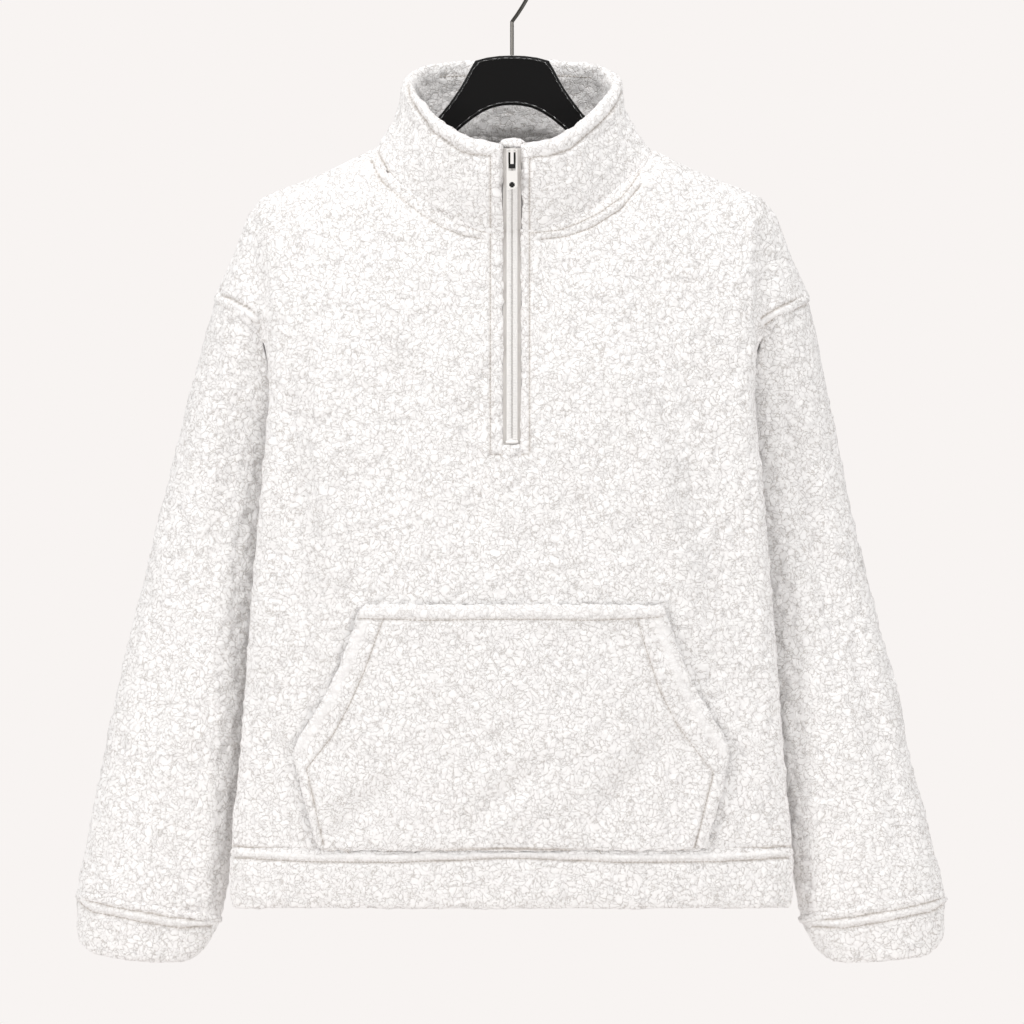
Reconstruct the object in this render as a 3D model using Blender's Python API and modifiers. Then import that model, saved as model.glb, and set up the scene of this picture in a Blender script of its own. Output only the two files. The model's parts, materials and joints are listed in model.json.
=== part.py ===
# Half-zip sherpa pullover on a black hanger, modelled as it hangs.
# Frame: metres, +Z up, the garment's front faces -Y, origin inside the top of the hook's crook.
# Sizes below are millimetres. "drop" is how far a point lies below the origin, and "out" is its
# distance from the centre line towards its own side.
import math

import bmesh
import bpy
import numpy as np
from mathutils import Vector

MM = 0.001

# cloth
WALL = 5.0                 # sherpa fleece with its pile
UNDERARM_WALL = 1.6        # where it is pressed between body and sleeve
DOUBLE_WALL = 8.5          # hem band and cuffs, folded double
COLLAR_WALL = 9.5          # collar, self-faced
RIM_ROUNDNESS = 0.35       # how far a folded edge stands out, as a share of its wall
SEAM_GAP = 0.3
LAY_GAP = 0.3              # between the front and what lies on it
POCKET_WALL = 4.6
POCKET_HEM_EXTRA = 1.6     # the turned edges of the pocket stand prouder

# neck and shoulder
NECK_HALF = 137.0
NECK_SIDE_DROP = 192.0
NECK_FRONT_DROP = 269.0
NECK_BACK_DROP = 178.0
NECK_FRONT_DEPTH = 50.0
NECK_BACK_DEPTH = 46.0
SHOULDER_END_OUT = 222.0
SHOULDER_END_DROP = 229.0
SHOULDER_SAG = 2.0

# levels down the body
SLIT_BOTTOM_DROP = 479.0
POCKET_TOP_DROP = 620.0
POCKET_WIDE_DROP = 756.0
HEM_SEAM_DROP = 855.0
HEM_BOTTOM_DROP = 907.0
EDGE_RADIUS = 14.0         # the rounded fold at each side of the body

# zip
SLIT_HALF = 9.0
PLACKET_HALF = 20.0
TAPE_DEPTH = 2.4           # tape face below the cloth's face
TAPE_THICK = 1.0
CHAIN_HALF = 5.2
CHAIN_THICK = 1.6
CHAIN_END_DROP = 465.0

# Body by height: half width to the side fold, depth of the front, side fold and back.
BODY = {
    "drop":  (192, 275, 357, 409, 461, 501, 541, 636, 731, 807, 832, 907),
    "half":  (230, 230, 229, 231, 234, 237, 241, 249, 255.5, 262, 266, 267),
    "front": (54, 55, 59, 61, 62, 62, 62, 61, 58, 54, 52, 49),
    "edge":  (23, 23, 23, 23, 23, 23, 22, 19, 14, 9, 7, 5),
    "back":  (44, 44, 45, 45, 45, 45, 45, 45, 44, 42, 41, 39),
}

# Edge of the pocket, which one column of the front follows all the way up to the neck.
POCKET_EDGE = {
    "drop": (192, 479, 620, 647, 677, 709, 737, 756, 797, 831, 855),
    "out":  (137, 137, 144, 151, 162.5, 177, 195, 209, 199.5, 190, 184),
}

# Share of the way from the neck down to the slit's end, one for each row of the panels.
UPPER_LEVELS = (0, 0.0105, 0.035, 0.085, 0.16, 0.25, 0.35, 0.45, 0.56, 0.66, 0.75, 0.88, 1)
# Share of the way down the armhole seam, from the shoulder end to the underarm.
ARMHOLE_LEVELS = (0, 0.04, 0.12, 0.22, 0.33, 0.45, 0.56, 0.67, 0.83, 0.92, 1)
MIDDLE_ROWS = 5            # slit end to pocket top
POCKET_ROWS = (5, 4)       # pocket top to its widest, and on to the hem seam
FRONT_COLUMNS = 5          # placket to pocket edge
BACK_COLUMNS = 5           # centre back to the neck point
SHOULDER_COLUMNS = 2       # between the neck point and the fold

# The dropped shoulder, by share of the armhole: five places (out, y, drop) across each row, from the
# front of the side fold, over its crest, through the valley behind it and out to the armhole seam.
CAP_FRONT = {
    0.00: ((222, -1, 229), (237, 0, 236), (250, 5, 252), (264, 12, 290), (281, 22, 330)),
    0.04: ((221, -11, 232), (235, -9, 240), (248, -3, 256), (262, 4, 291), (279.5, 11, 331)),
    0.12: ((219, -19, 243), (233, -16, 252), (244, -9, 266), (259, -3, 298), (273, -2, 334)),
    0.33: ((215, -30, 300), (228, -27, 308), (236, -13, 318), (248, -17, 330), (257, -15, 344)),
    0.67: ((215, -36, 352), (228, -31, 355), (232, -20, 358), (233, -13, 362), (238, -11, 366)),
    1.00: ((216, -37, 425), (226, -33, 428), (230, -23, 430), (226, -13, 433), (216, -9, 436)),
}
CAP_BACK = {
    0.00: ((222, -1, 229), (237, 0, 236), (250, 5, 252), (264, 12, 290), (281, 22, 330)),
    0.04: ((221, 9, 232), (235, 11, 240), (248, 15, 256), (263, 24, 291), (280.5, 33, 331)),
    0.12: ((219, 17, 243), (233, 21, 252), (246, 26, 266), (261, 36, 298), (277, 45, 335)),
    0.33: ((214, 26, 292), (230, 33, 302), (245, 42, 312), (258, 52, 330), (267, 60, 348)),
    0.67: ((205, 36, 350), (218, 44, 356), (230, 52, 364), (240, 60, 374), (247, 66, 386)),
    0.83: ((190, 34, 400), (200, 36, 404), (210, 40, 410), (218, 44, 416), (226, 46, 424)),
    1.00: ((170, 26, 425), (185, 17, 428), (200, 6, 430), (208, -2, 433), (216, -9, 436)),
}
# How far in from the side fold the back's last columns lie, with the side seam last.
BACK_INSETS = (60, 45, 30, 22, 14)
BACK_ROUNDING = 60.0

# Sleeves by height of the section's middle: outer edge on each side, half width, middle depth,
# half depth. Sections tilt so that the inner side is lower.
SLEEVE = {
    "drop":  (480, 520, 560, 600, 640, 680, 720, 760, 800, 840, 875, 909, 925, 945, 961),
    "left":  (318, 328, 337, 347, 358, 367.5, 376, 384.5, 393, 400, 407, 414, 415.5, 415.5, 413),
    "right": (310, 317, 326, 337.5, 343, 358, 368, 373, 383, 394, 404, 411, 412.5, 412.5, 410),
    "half":  (62, 64, 66, 67, 68, 68, 69, 69, 69, 69, 69.5, 70, 68, 65, 62),
    "depth": (34, 34, 33, 32, 31, 30, 29, 28, 27, 25, 23, 22, 22, 22, 22),
    "thick": (37, 37, 37, 37, 37, 36, 36, 36, 35, 34, 33, 32, 31, 30, 28),
}
SLEEVE_TILT = math.radians(10)
SLEEVE_FIRST_DROP = 480.0
SLEEVE_SEAM_DROP = 909.0
SLEEVE_BLEND_ROWS = 4      # from the armhole to the first full section
SLEEVE_ROWS = 12
UNDERARM_EASE = 1.5        # how late the sleeve's front turns in behind the body's fold
CUFF_DROPS = (909.0, 917.0, 940.0, 961.0)
# The cuff's lower edge by the distance in from the sleeve's outer edge, with both corners rounded.
CUFF_RIM = {
    "in":   (0, 4.5, 12, 22, 60, 98, 110, 117, 122),
    "drop": (939, 945.6, 950, 953, 958.5, 961.5, 959, 953, 945),
}
HEM_DROPS = (855.0, 863.0, 885.0, 907.0)
HEM_BULGE = (0.0, 2.0, 2.0, 0.0)

# Rim of the collar by the angle round the neck, from centre front to centre back.
COLLAR_RIM = {
    "angle": (0, 20, 40, 60, 80, 100, 120, 140, 160, 180),
    "out":   (0, 38, 70, 92, 105, 107, 99, 80, 45, 0),
    "y":     (-68, -66, -56, -38, -15, 8, 32, 50, 58, 60),
    "drop":  (188, 184, 167, 146, 131, 124, 116, 109, 106, 106),
}
COLLAR_LEVELS = (0, 0.12, 0.3, 0.5, 0.7, 0.88, 1)

# Soft drape folds on the front: a line from one place to another, its half width and its height.
FRONT_FOLDS = (
    {"x": (-178, -172), "drop": (350, 590), "width": 24, "height": 4.5},
    {"x": (-118, -128), "drop": (400, 600), "width": 22, "height": -3.5},
    {"x": (-30, -26), "drop": (500, 590), "width": 20, "height": 3.5},
    {"x": (95, 150), "drop": (400, 610), "width": 24, "height": 5.0},
    {"x": (42, 92), "drop": (490, 605), "width": 20, "height": 4.0},
    {"x": (180, 205), "drop": (420, 700), "width": 24, "height": -4.0},
    {"x": (-190, -95), "drop": (815, 780), "width": 18, "height": 3.5},
    {"x": (-50, 60), "drop": (838, 745), "width": 20, "height": 4.5},
    {"x": (120, 165), "drop": (820, 730), "width": 20, "height": -3.5},
)
BACK_FOLDS = (
    {"x": (-140, -120), "drop": (380, 780), "width": 30, "height": 4.5},
    {"x": (-40, -60), "drop": (450, 820), "width": 26, "height": -4.0},
    {"x": (50, 30), "drop": (330, 700), "width": 26, "height": 4.0},
    {"x": (110, 135), "drop": (480, 830), "width": 26, "height": 4.5},
)

# hanger and hook
HANGER_THICK = 10.0
HANGER_BEVEL = 2.4
HANGER_SEAT = 7.7          # top of each arm below the shoulder line of the cloth
HANGER_TOP_DROP = 99.6
HANGER_END_OUT = 222.0
# The upper edge from the middle of the crest down to the collar, and the lower edge back to the middle.
HANGER_NECK = {
    "out":  (0, 12, 24, 35, 39.5, 44, 48.7, 54, 60, 66.5, 75.5, 86, 98, 112),
    "drop": (HANGER_TOP_DROP, 100, 101.6, 104.6, 112.3, 121, 129.4, 137.2, 145.8, 154, 163.8, 173, 182.6, 193),
}
HANGER_ARCH = {
    "out":  (180, 154, 130, 108, 90, 76, 64, 55, 47, 38, 28, 19, 9.5, 0),
    "drop": (240, 231.5, 222, 212, 201.5, 191.5, 182.2, 174.4, 167.3, 160, 153.4, 149.4, 147.3, 146.6),
}
HOOK_WIRE = 3.6
HOOK_RADIUS = 22.0         # to the middle of the wire
HOOK_SHANK = 34.0
HOOK_TIP_ANGLE = math.radians(215)

# slider and pull tab
SLIDER_WIDTH = 10.6
SLIDER_LENGTH = 15.2
SLIDER_THICK = 2.6
SLIDER_DROP = 196.6
BRIDGE_WIDTH = 3.0
BRIDGE_LENGTH = 14.4
BRIDGE_LEG = 1.2
BRIDGE_SPACE = 3.0         # between the slider's face and the bridge
BRIDGE_THICK = 1.1
PULL_WIDTH = 10.2
PULL_LENGTH = 35.6
PULL_THICK = 1.4
PULL_BAR = 0.85
PULL_DROP = 191.9          # the bar hangs at the top of the bridge's space
PULL_SLOT = (7.2, 18.2)
PULL_HOLE = 5.2
PULL_HOLE_DROP = 31.6

FLEECE = ((0.90, 0.89, 0.87), 0.95, 0.0)
TAPE = ((0.86, 0.86, 0.84), 0.8, 0.0)
COIL = ((0.82, 0.82, 0.80), 0.5, 0.0)
ZIP_METAL = ((0.78, 0.78, 0.78), 0.35, 0.6)
BLACK_PLASTIC = ((0.012, 0.012, 0.011), 0.45, 0.0)
DARK_STEEL = ((0.05, 0.05, 0.05), 0.35, 1.0)

SIDES = {"left": -1, "right": 1}
NECK_COLUMN = FRONT_COLUMNS + 2
LAST_ROW = len(UPPER_LEVELS) - 1 + MIDDLE_ROWS + sum(POCKET_ROWS)
SLIT_ROW = len(UPPER_LEVELS) - 1
POCKET_ROW = SLIT_ROW + MIDDLE_ROWS
UNDERARM_ROW = len(ARMHOLE_LEVELS) - 1
CAP_COLUMNS = 5


def read_table(table, column, at, key="drop"):
    return float(np.interp(at, table[key], table[column]))


def mix(a, b, share):
    return a + (b - a) * share


def fold_height(folds, x, drop):
    here = np.array((x, drop), float)
    total = 0.0
    for fold in folds:
        start = np.array((fold["x"][0], fold["drop"][0]), float)
        along = np.array((fold["x"][1], fold["drop"][1]), float) - start
        share = float(np.clip(np.dot(here - start, along) / np.dot(along, along), 0, 1))
        away = np.linalg.norm(here - start - along * share)
        total += fold["height"] * math.exp(-(away / fold["width"]) ** 2)
    return total


def shoulder_drop(out):
    share = (out - NECK_HALF) / (SHOULDER_END_OUT - NECK_HALF)
    line = mix(NECK_SIDE_DROP, SHOULDER_END_DROP, share)
    return line + SHOULDER_SAG * math.sin(math.pi * min(max(share, 0), 1))


def neck_drop(out, lowest):
    return NECK_SIDE_DROP + (lowest - NECK_SIDE_DROP) * (1 - (out / NECK_HALF) ** 2)


def top_of_panel(out, lowest, depth):
    # drop, depth and roundness of the panel's top edge
    if out >= NECK_HALF:
        return shoulder_drop(out), 1.0, 0.5
    inner = 1 - (out / NECK_HALF) ** 2
    return neck_drop(out, lowest), 1 + depth * math.sqrt(inner), mix(0.5, 1.0, inner)


def front_y(x, drop):
    out = abs(x)
    reach = read_table(BODY, "half", drop) - EDGE_RADIUS
    side = read_table(BODY, "edge", drop) + EDGE_RADIUS
    middle = read_table(BODY, "front", drop)
    body = side + (middle - side) * (1 - min(1, out / reach) ** 2.2)
    top, depth, roundness = top_of_panel(out, NECK_FRONT_DROP, NECK_FRONT_DEPTH)
    fall = (1 - math.exp(-max(0, drop - top) / 55)) ** roundness
    return -mix(depth, body, fall) - fold_height(FRONT_FOLDS, x, drop) * fall


def back_y(x, drop):
    out = abs(x)
    inset = max(0, read_table(BODY, "half", drop) - EDGE_RADIUS - out)
    side = EDGE_RADIUS - read_table(BODY, "edge", drop)
    middle = read_table(BODY, "back", drop)
    body = side + (middle - side) * (1 - math.exp(-inset / BACK_ROUNDING))
    top, depth, roundness = top_of_panel(out, NECK_BACK_DROP, NECK_BACK_DEPTH)
    fall = (1 - math.exp(-max(0, drop - top) / 55)) ** roundness
    return mix(depth, body, fall) + fold_height(BACK_FOLDS, x, drop) * fall


def cap_places(cap, share):
    stations = sorted(cap)
    return [np.array([np.interp(share, stations, [cap[s][place][axis] for s in stations])
                      for axis in range(3)]) for place in range(CAP_COLUMNS)]


def row_drop(row, top):
    # height of a row on a column whose top edge is at this drop
    if row <= SLIT_ROW:
        return mix(top, SLIT_BOTTOM_DROP, UPPER_LEVELS[row])
    if row <= POCKET_ROW:
        return mix(SLIT_BOTTOM_DROP, POCKET_TOP_DROP, (row - SLIT_ROW) / MIDDLE_ROWS)
    if row <= POCKET_ROW + POCKET_ROWS[0]:
        share = (row - POCKET_ROW) / POCKET_ROWS[0]
        return mix(POCKET_TOP_DROP, POCKET_WIDE_DROP, share)
    share = (row - POCKET_ROW - POCKET_ROWS[0]) / POCKET_ROWS[1]
    return mix(POCKET_WIDE_DROP, HEM_SEAM_DROP, share)


def side_drop(row):
    # height of a row at the side seam
    if row >= SLIT_ROW:
        return row_drop(row, NECK_SIDE_DROP)
    share = (row - UNDERARM_ROW) / (SLIT_ROW - UNDERARM_ROW)
    return mix(CAP_FRONT[1.0][-1][2], SLIT_BOTTOM_DROP, share)


def edge_places(drop, back):
    half = read_table(BODY, "half", drop)
    edge = read_table(BODY, "edge", drop)
    if back:
        return [np.array((half - inset, back_y(half - inset, drop), drop)) for inset in BACK_INSETS]
    places = []
    for angle in (-90, -45, 0, 45, 90):
        turn = math.radians(angle)
        places.append(np.array((half - EDGE_RADIUS + EDGE_RADIUS * math.cos(turn),
                                -edge + EDGE_RADIUS * math.sin(turn), drop)))
    return places


class Cloth:
    # All cloth outer faces as one surface, so that neighbours share their seam points.

    def __init__(self):
        self.points = {}
        self.faces = {}

    def add(self, key, out, y, drop, side=1):
        self.points.setdefault(key, np.array((out * side, y, -drop), float))
        return key

    def quad(self, piece, corners, flip):
        corners = tuple(reversed(corners)) if flip else tuple(corners)
        self.faces.setdefault(piece, []).append(corners)

    def normals(self, names):
        total = {}
        for name in names:
            for face in self.faces[name]:
                a, b, c, d = (self.points[key] for key in face)
                normal = np.cross(c - a, d - b)
                for key in face:
                    total[key] = total.get(key, 0) + normal
        return {key: value / np.linalg.norm(value) for key, value in total.items()}


def panel_key(face, side, row, column, last_column):
    neck = NECK_COLUMN if face == "front" else BACK_COLUMNS
    if column == 0:
        return (face, 0, row, 0)
    if row == 0 and column >= neck:
        return ("shoulder", side, column - neck)
    if column == last_column and row >= UNDERARM_ROW:
        return ("side seam", side, row)
    return (face, side, row, column)


def column_shares(count):
    # closer together towards the neck point, where the neckline turns
    return [mix(step / count, math.sin(math.pi / 2 * step / count), 0.6)
            for step in range(count + 1)]


def lay_panel(cloth, face, side):
    back = face == "back"
    surface = back_y if back else front_y
    neck = BACK_COLUMNS if back else NECK_COLUMN
    lowest = NECK_BACK_DROP if back else NECK_FRONT_DROP
    cap = CAP_BACK if back else CAP_FRONT
    last = neck + SHOULDER_COLUMNS + CAP_COLUMNS
    for row in range(LAST_ROW + 1):
        neck_row_drop = row_drop(row, NECK_SIDE_DROP)
        wide = NECK_HALF if back else read_table(POCKET_EDGE, "out", neck_row_drop)
        if back:
            outs = [wide * share for share in column_shares(BACK_COLUMNS)]
        else:
            outs = [0, SLIT_HALF] + [mix(PLACKET_HALF, wide, share)
                                     for share in column_shares(FRONT_COLUMNS)]
        for column, out in enumerate(outs):
            top = neck_drop(min(out, NECK_HALF), lowest) if row <= SLIT_ROW else 0
            drop = row_drop(row, top)
            key = panel_key(face, side, row, column, last)
            cloth.add(key, out, surface(out * side, drop), drop, side)
        if row <= UNDERARM_ROW:
            places = cap_places(cap, ARMHOLE_LEVELS[row])
        else:
            places = edge_places(side_drop(row), back)
        first = places[0]
        lift = first[1] - surface(first[0] * side, first[2])
        for step in range(1, SHOULDER_COLUMNS + 1):
            share = step / (SHOULDER_COLUMNS + 1)
            out, drop = mix(wide, first[0], share), mix(neck_row_drop, first[2], share)
            if row == 0:
                drop = shoulder_drop(out)
            key = panel_key(face, side, row, neck + step, last)
            y = -1.0 if row == 0 else surface(out * side, drop) + lift * share ** 2
            cloth.add(key, out, y, drop, side)
        for step, place in enumerate(places):
            column = neck + SHOULDER_COLUMNS + 1 + step
            cloth.add(panel_key(face, side, row, column, last), *place, side)
    piece = face + "_panel"
    for row in range(LAST_ROW):
        for column in range(last):
            if not back and column == 0 and row < SLIT_ROW:
                continue
            corners = [panel_key(face, side, row + r, column + c, last)
                       for r, c in ((0, 0), (1, 0), (1, 1), (0, 1))]
            cloth.quad(piece, corners, flip=(side < 0) != back)


def hem_ring():
    # keys of the panels' last row, from the centre front round by the right side
    ring = []
    front_last = NECK_COLUMN + SHOULDER_COLUMNS + CAP_COLUMNS
    back_last = BACK_COLUMNS + SHOULDER_COLUMNS + CAP_COLUMNS
    for side in (1, -1):
        front = [panel_key("front", side, LAST_ROW, c, front_last) for c in range(front_last + 1)]
        back = [panel_key("back", side, LAST_ROW, c, back_last) for c in range(back_last)]
        half = front + back[::-1]
        ring += half[:-1] if side == 1 else half[:0:-1]
    return ring


def lay_hem(cloth):
    ring = hem_ring()
    cloth_normals = cloth.normals(["front_panel", "back_panel"])
    rows = [ring]
    for level in range(1, len(HEM_DROPS)):
        row = []
        for place, key in enumerate(ring):
            seam, normal = cloth.points[key], cloth_normals[key]
            share = (HEM_DROPS[level] - HEM_SEAM_DROP) / (HEM_BOTTOM_DROP - HEM_SEAM_DROP)
            y = seam[1] + normal[1] * HEM_BULGE[level] + 2.0 * share * np.sign(-seam[1])
            new = ("hem", level, place)
            cloth.points[new] = np.array((seam[0] + normal[0] * HEM_BULGE[level], y,
                                          -HEM_DROPS[level]))
            row.append(new)
        rows.append(row)
    count = len(ring)
    for upper, lower in zip(rows, rows[1:]):
        for place in range(count):
            after = (place + 1) % count
            cloth.quad("hem_band", (upper[place], lower[place], lower[after], upper[after]), False)


def armhole_ring(side):
    front_last = NECK_COLUMN + SHOULDER_COLUMNS + CAP_COLUMNS
    back_last = BACK_COLUMNS + SHOULDER_COLUMNS + CAP_COLUMNS
    front = [panel_key("front", side, row, front_last, front_last)
             for row in range(UNDERARM_ROW + 1)]
    front[0] = ("shoulder", side, SHOULDER_COLUMNS + CAP_COLUMNS)
    back = [panel_key("back", side, row, back_last, back_last) for row in range(1, UNDERARM_ROW)]
    return front + back[::-1]


def ring_angles(cloth, ring):
    # angle of each armhole point round the sleeve: outer edge, front, underarm, back
    places = [cloth.points[key] for key in ring] + [cloth.points[ring[0]]]
    steps = [np.linalg.norm(b - a) for a, b in zip(places, places[1:])]
    walked = np.concatenate(([0], np.cumsum(steps)))
    half = walked[UNDERARM_ROW]
    angles = []
    for distance in walked[:-1]:
        if distance <= half:
            angles.append(math.pi * distance / half)
        else:
            angles.append(math.pi * (1 + (distance - half) / (walked[-1] - half)))
    return angles


def sleeve_place(hand, drop, angle):
    half = read_table(SLEEVE, "half", drop)
    middle = read_table(SLEEVE, hand, drop) - half * math.cos(SLEEVE_TILT)
    across = half * math.cos(angle)
    y = read_table(SLEEVE, "depth", drop) - read_table(SLEEVE, "thick", drop) * math.sin(angle)
    return (middle + across * math.cos(SLEEVE_TILT), y, drop - across * math.sin(SLEEVE_TILT))


def cuff_place(hand, share, angle):
    # straight from the cuff's seam to its rounded lower edge
    seam = np.array(sleeve_place(hand, SLEEVE_SEAM_DROP, angle))
    out, y, _ = sleeve_place(hand, CUFF_DROPS[-1], angle)
    inward = read_table(SLEEVE, hand, CUFF_DROPS[-1]) - out
    rim = np.array((out, y, np.interp(inward, CUFF_RIM["in"], CUFF_RIM["drop"])))
    return mix(seam, rim, share)


def lay_sleeve(cloth, hand):
    side = SIDES[hand]
    ring = armhole_ring(side)
    angles = ring_angles(cloth, ring)
    rows = [ring]
    for level in range(1, SLEEVE_BLEND_ROWS):
        share = level / SLEEVE_BLEND_ROWS
        row = []
        for place, (key, angle) in enumerate(zip(ring, angles)):
            start = cloth.points[key] * (side, 1, -1)
            end = np.array(sleeve_place(hand, SLEEVE_FIRST_DROP, angle))
            out, y, drop = mix(start, end, share)
            if UNDERARM_ROW - 3 <= place < UNDERARM_ROW:
                out = mix(start[0], end[0], share ** UNDERARM_EASE)
                y = mix(start[1], end[1], share ** UNDERARM_EASE)
            row.append(cloth.add((hand, level, place), out, y, drop, side))
        rows.append(row)
    drops = list(np.linspace(SLEEVE_FIRST_DROP, SLEEVE_SEAM_DROP, SLEEVE_ROWS + 1))
    for level, drop in enumerate(drops, SLEEVE_BLEND_ROWS):
        rows.append([cloth.add((hand, level, place), *sleeve_place(hand, drop, angle), side)
                     for place, angle in enumerate(angles)])
    for level, drop in enumerate(CUFF_DROPS[1:], SLEEVE_BLEND_ROWS + len(drops)):
        share = (drop - CUFF_DROPS[0]) / (CUFF_DROPS[-1] - CUFF_DROPS[0])
        rows.append([cloth.add((hand, level, place), *cuff_place(hand, share, angle), side)
                     for place, angle in enumerate(angles)])
    count = len(ring)
    cuff_row = SLEEVE_BLEND_ROWS + SLEEVE_ROWS
    for level, (upper, lower) in enumerate(zip(rows, rows[1:])):
        piece = ("cuff_" if level >= cuff_row else "sleeve_") + hand
        for place in range(count):
            after = (place + 1) % count
            corners = (upper[place], upper[after], lower[after], lower[place])
            cloth.quad(piece, corners, flip=side < 0)


def neck_ring():
    # the neckline from the left edge of the slit round the back to the right edge
    half = {}
    for side in (-1, 1):
        front = [("front", side, 0, column) for column in range(1, NECK_COLUMN)]
        back = [("back", side, 0, column) for column in range(BACK_COLUMNS - 1, 0, -1)]
        half[side] = front + [("shoulder", side, 0)] + back
    return half[-1] + [("back", 0, 0, 0)] + half[1][::-1]


def lay_collar(cloth):
    ring = neck_ring()
    rows = [ring]
    for level, share in enumerate(COLLAR_LEVELS[1:], 1):
        row = []
        for place, key in enumerate(ring):
            x, y, z = cloth.points[key]
            side = 1 if x >= 0 else -1
            turn = math.degrees(math.asin(min(1, abs(x) / NECK_HALF)))
            angle = 180 - turn if y > 0 else turn
            rim = [read_table(COLLAR_RIM, column, angle, "angle") for column in ("out", "y", "drop")]
            spread = (1 - share) ** 2
            out = mix(rim[0], abs(x), spread)
            if place in (0, len(ring) - 1):
                out = SLIT_HALF
            row.append(cloth.add(("collar", level, place), out, mix(rim[1], y, spread),
                                 mix(-z, rim[2], share), side))
        rows.append(row)
    for lower, upper in zip(rows, rows[1:]):
        for place in range(len(ring) - 1):
            corners = (lower[place], upper[place], upper[place + 1], lower[place + 1])
            cloth.quad("collar", corners, False)
    return rows


def share_normals(one, other):
    # where two groups meet at a smooth seam, both walls follow the mean direction
    for key in set(one) & set(other):
        if np.dot(one[key], other[key]) > 0.5:
            mean = one[key] + other[key]
            one[key] = other[key] = mean / np.linalg.norm(mean)


def level_direction(normal):
    level = np.array((normal[0], normal[1], 0))
    return level / np.linalg.norm(level)


def new_object(name, mesh, collection, finish):
    material = bpy.data.materials.new(name)
    material.use_nodes = True
    colour, roughness, metallic = finish
    shader = material.node_tree.nodes["Principled BSDF"]
    shader.inputs["Base Color"].default_value = (*colour, 1)
    shader.inputs["Roughness"].default_value = roughness
    shader.inputs["Metallic"].default_value = metallic
    material.diffuse_color = (*colour, 1)
    mesh.materials.clear()
    mesh.materials.append(material)
    thing = bpy.data.objects.new(name, mesh)
    collection.objects.link(thing)
    return thing


def outline_edges(faces):
    edges = {}
    for face in faces:
        for a, b in zip(face, face[1:] + face[:1]):
            edges[(a, b)] = edges.get((a, b), 0) + 1
    return [edge for edge in edges if edge[::-1] not in edges]


def seam_nudges(cloth, faces, normals, edges):
    # each edge point moves half a seam gap into its own piece
    inward, along = {}, {}
    for a, b in edges:
        step = cloth.points[b] - cloth.points[a]
        for key in (a, b):
            along.setdefault(key, []).append(step / np.linalg.norm(step))
    for face in faces:
        centre = sum(cloth.points[key] for key in face) / 4
        for key in face:
            if key in along:
                inward[key] = inward.get(key, 0) + centre - cloth.points[key]
    nudges = {}
    for key, toward in inward.items():
        move = 0
        for step in along[key]:
            across = np.cross(normals[key], step)
            across /= np.linalg.norm(across)
            move = move + across * np.sign(np.dot(across, toward))
        length = max(np.linalg.norm(move) / len(along[key]), 0.4)
        move = move / np.linalg.norm(move)
        nudges[key] = move * (SEAM_GAP / 2) / length
    return nudges


def rim_reach(cloth, faces, key, neighbour, normal, thickness):
    # how far and which way the rounded middle of a free edge stands out
    step = cloth.points[neighbour] - cloth.points[key]
    across = np.cross(normal, step)
    across /= np.linalg.norm(across)
    centres = [sum(cloth.points[other] for other in face) / 4 for face in faces if key in face]
    toward = sum(centres) / len(centres) - cloth.points[key]
    return -across * np.sign(np.dot(across, toward)) * thickness * RIM_ROUNDNESS


def cloth_shell(cloth, name, collection, faces, normals, outer, inner, rim_test=None, finish=FLEECE):
    # closed wall from the outer faces: each point moved along its normal by outer(key) and inner(key)
    edges = outline_edges(faces)
    nudges = seam_nudges(cloth, faces, normals, edges)
    mesh = bmesh.new()
    front, back = {}, {}
    for key in dict.fromkeys(key for face in faces for key in face):
        place = cloth.points[key] + nudges.get(key, 0)
        front[key] = mesh.verts.new((place + normals[key] * outer(key)) * MM)
        back[key] = mesh.verts.new((place + normals[key] * inner(key)) * MM)
    for a, b, c, d in faces:
        for three in ((a, b, c), (a, c, d)):
            mesh.faces.new([front[key] for key in three])
            mesh.faces.new([back[key] for key in reversed(three)])
    rims = {}
    for a, b in edges:
        if rim_test and rim_test(a) and rim_test(b):
            for key, neighbour in ((a, b), (b, a)):
                if key not in rims:
                    middle = (front[key].co + back[key].co) / 2
                    reach = rim_reach(cloth, faces, key, neighbour, normals[key],
                                      outer(key) - inner(key))
                    rims[key] = mesh.verts.new(middle + Vector(reach) * MM)
    for a, b in edges:
        if a in rims and b in rims:
            mesh.faces.new((front[b], front[a], rims[a], rims[b]))
            mesh.faces.new((rims[b], rims[a], back[a], back[b]))
        else:
            start = [rims[a]] if a in rims else []
            end = [rims[b]] if b in rims else []
            if start or end:
                mesh.faces.new([front[b], front[a]] + start + [back[a], back[b]] + end)
            elif str(a) < str(b):
                mesh.faces.new((front[b], front[a], back[b]))
                mesh.faces.new((front[a], back[a], back[b]))
            else:
                mesh.faces.new((front[b], front[a], back[a]))
                mesh.faces.new((front[b], back[a], back[b]))
    bmesh.ops.triangulate(mesh, faces=[face for face in mesh.faces if len(face.verts) > 3])
    data = bpy.data.meshes.new(name)
    mesh.to_mesh(data)
    mesh.free()
    data.shade_smooth()
    data.set_sharp_from_angle(angle=math.radians(50))
    return new_object(name, data, collection, finish)


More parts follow.
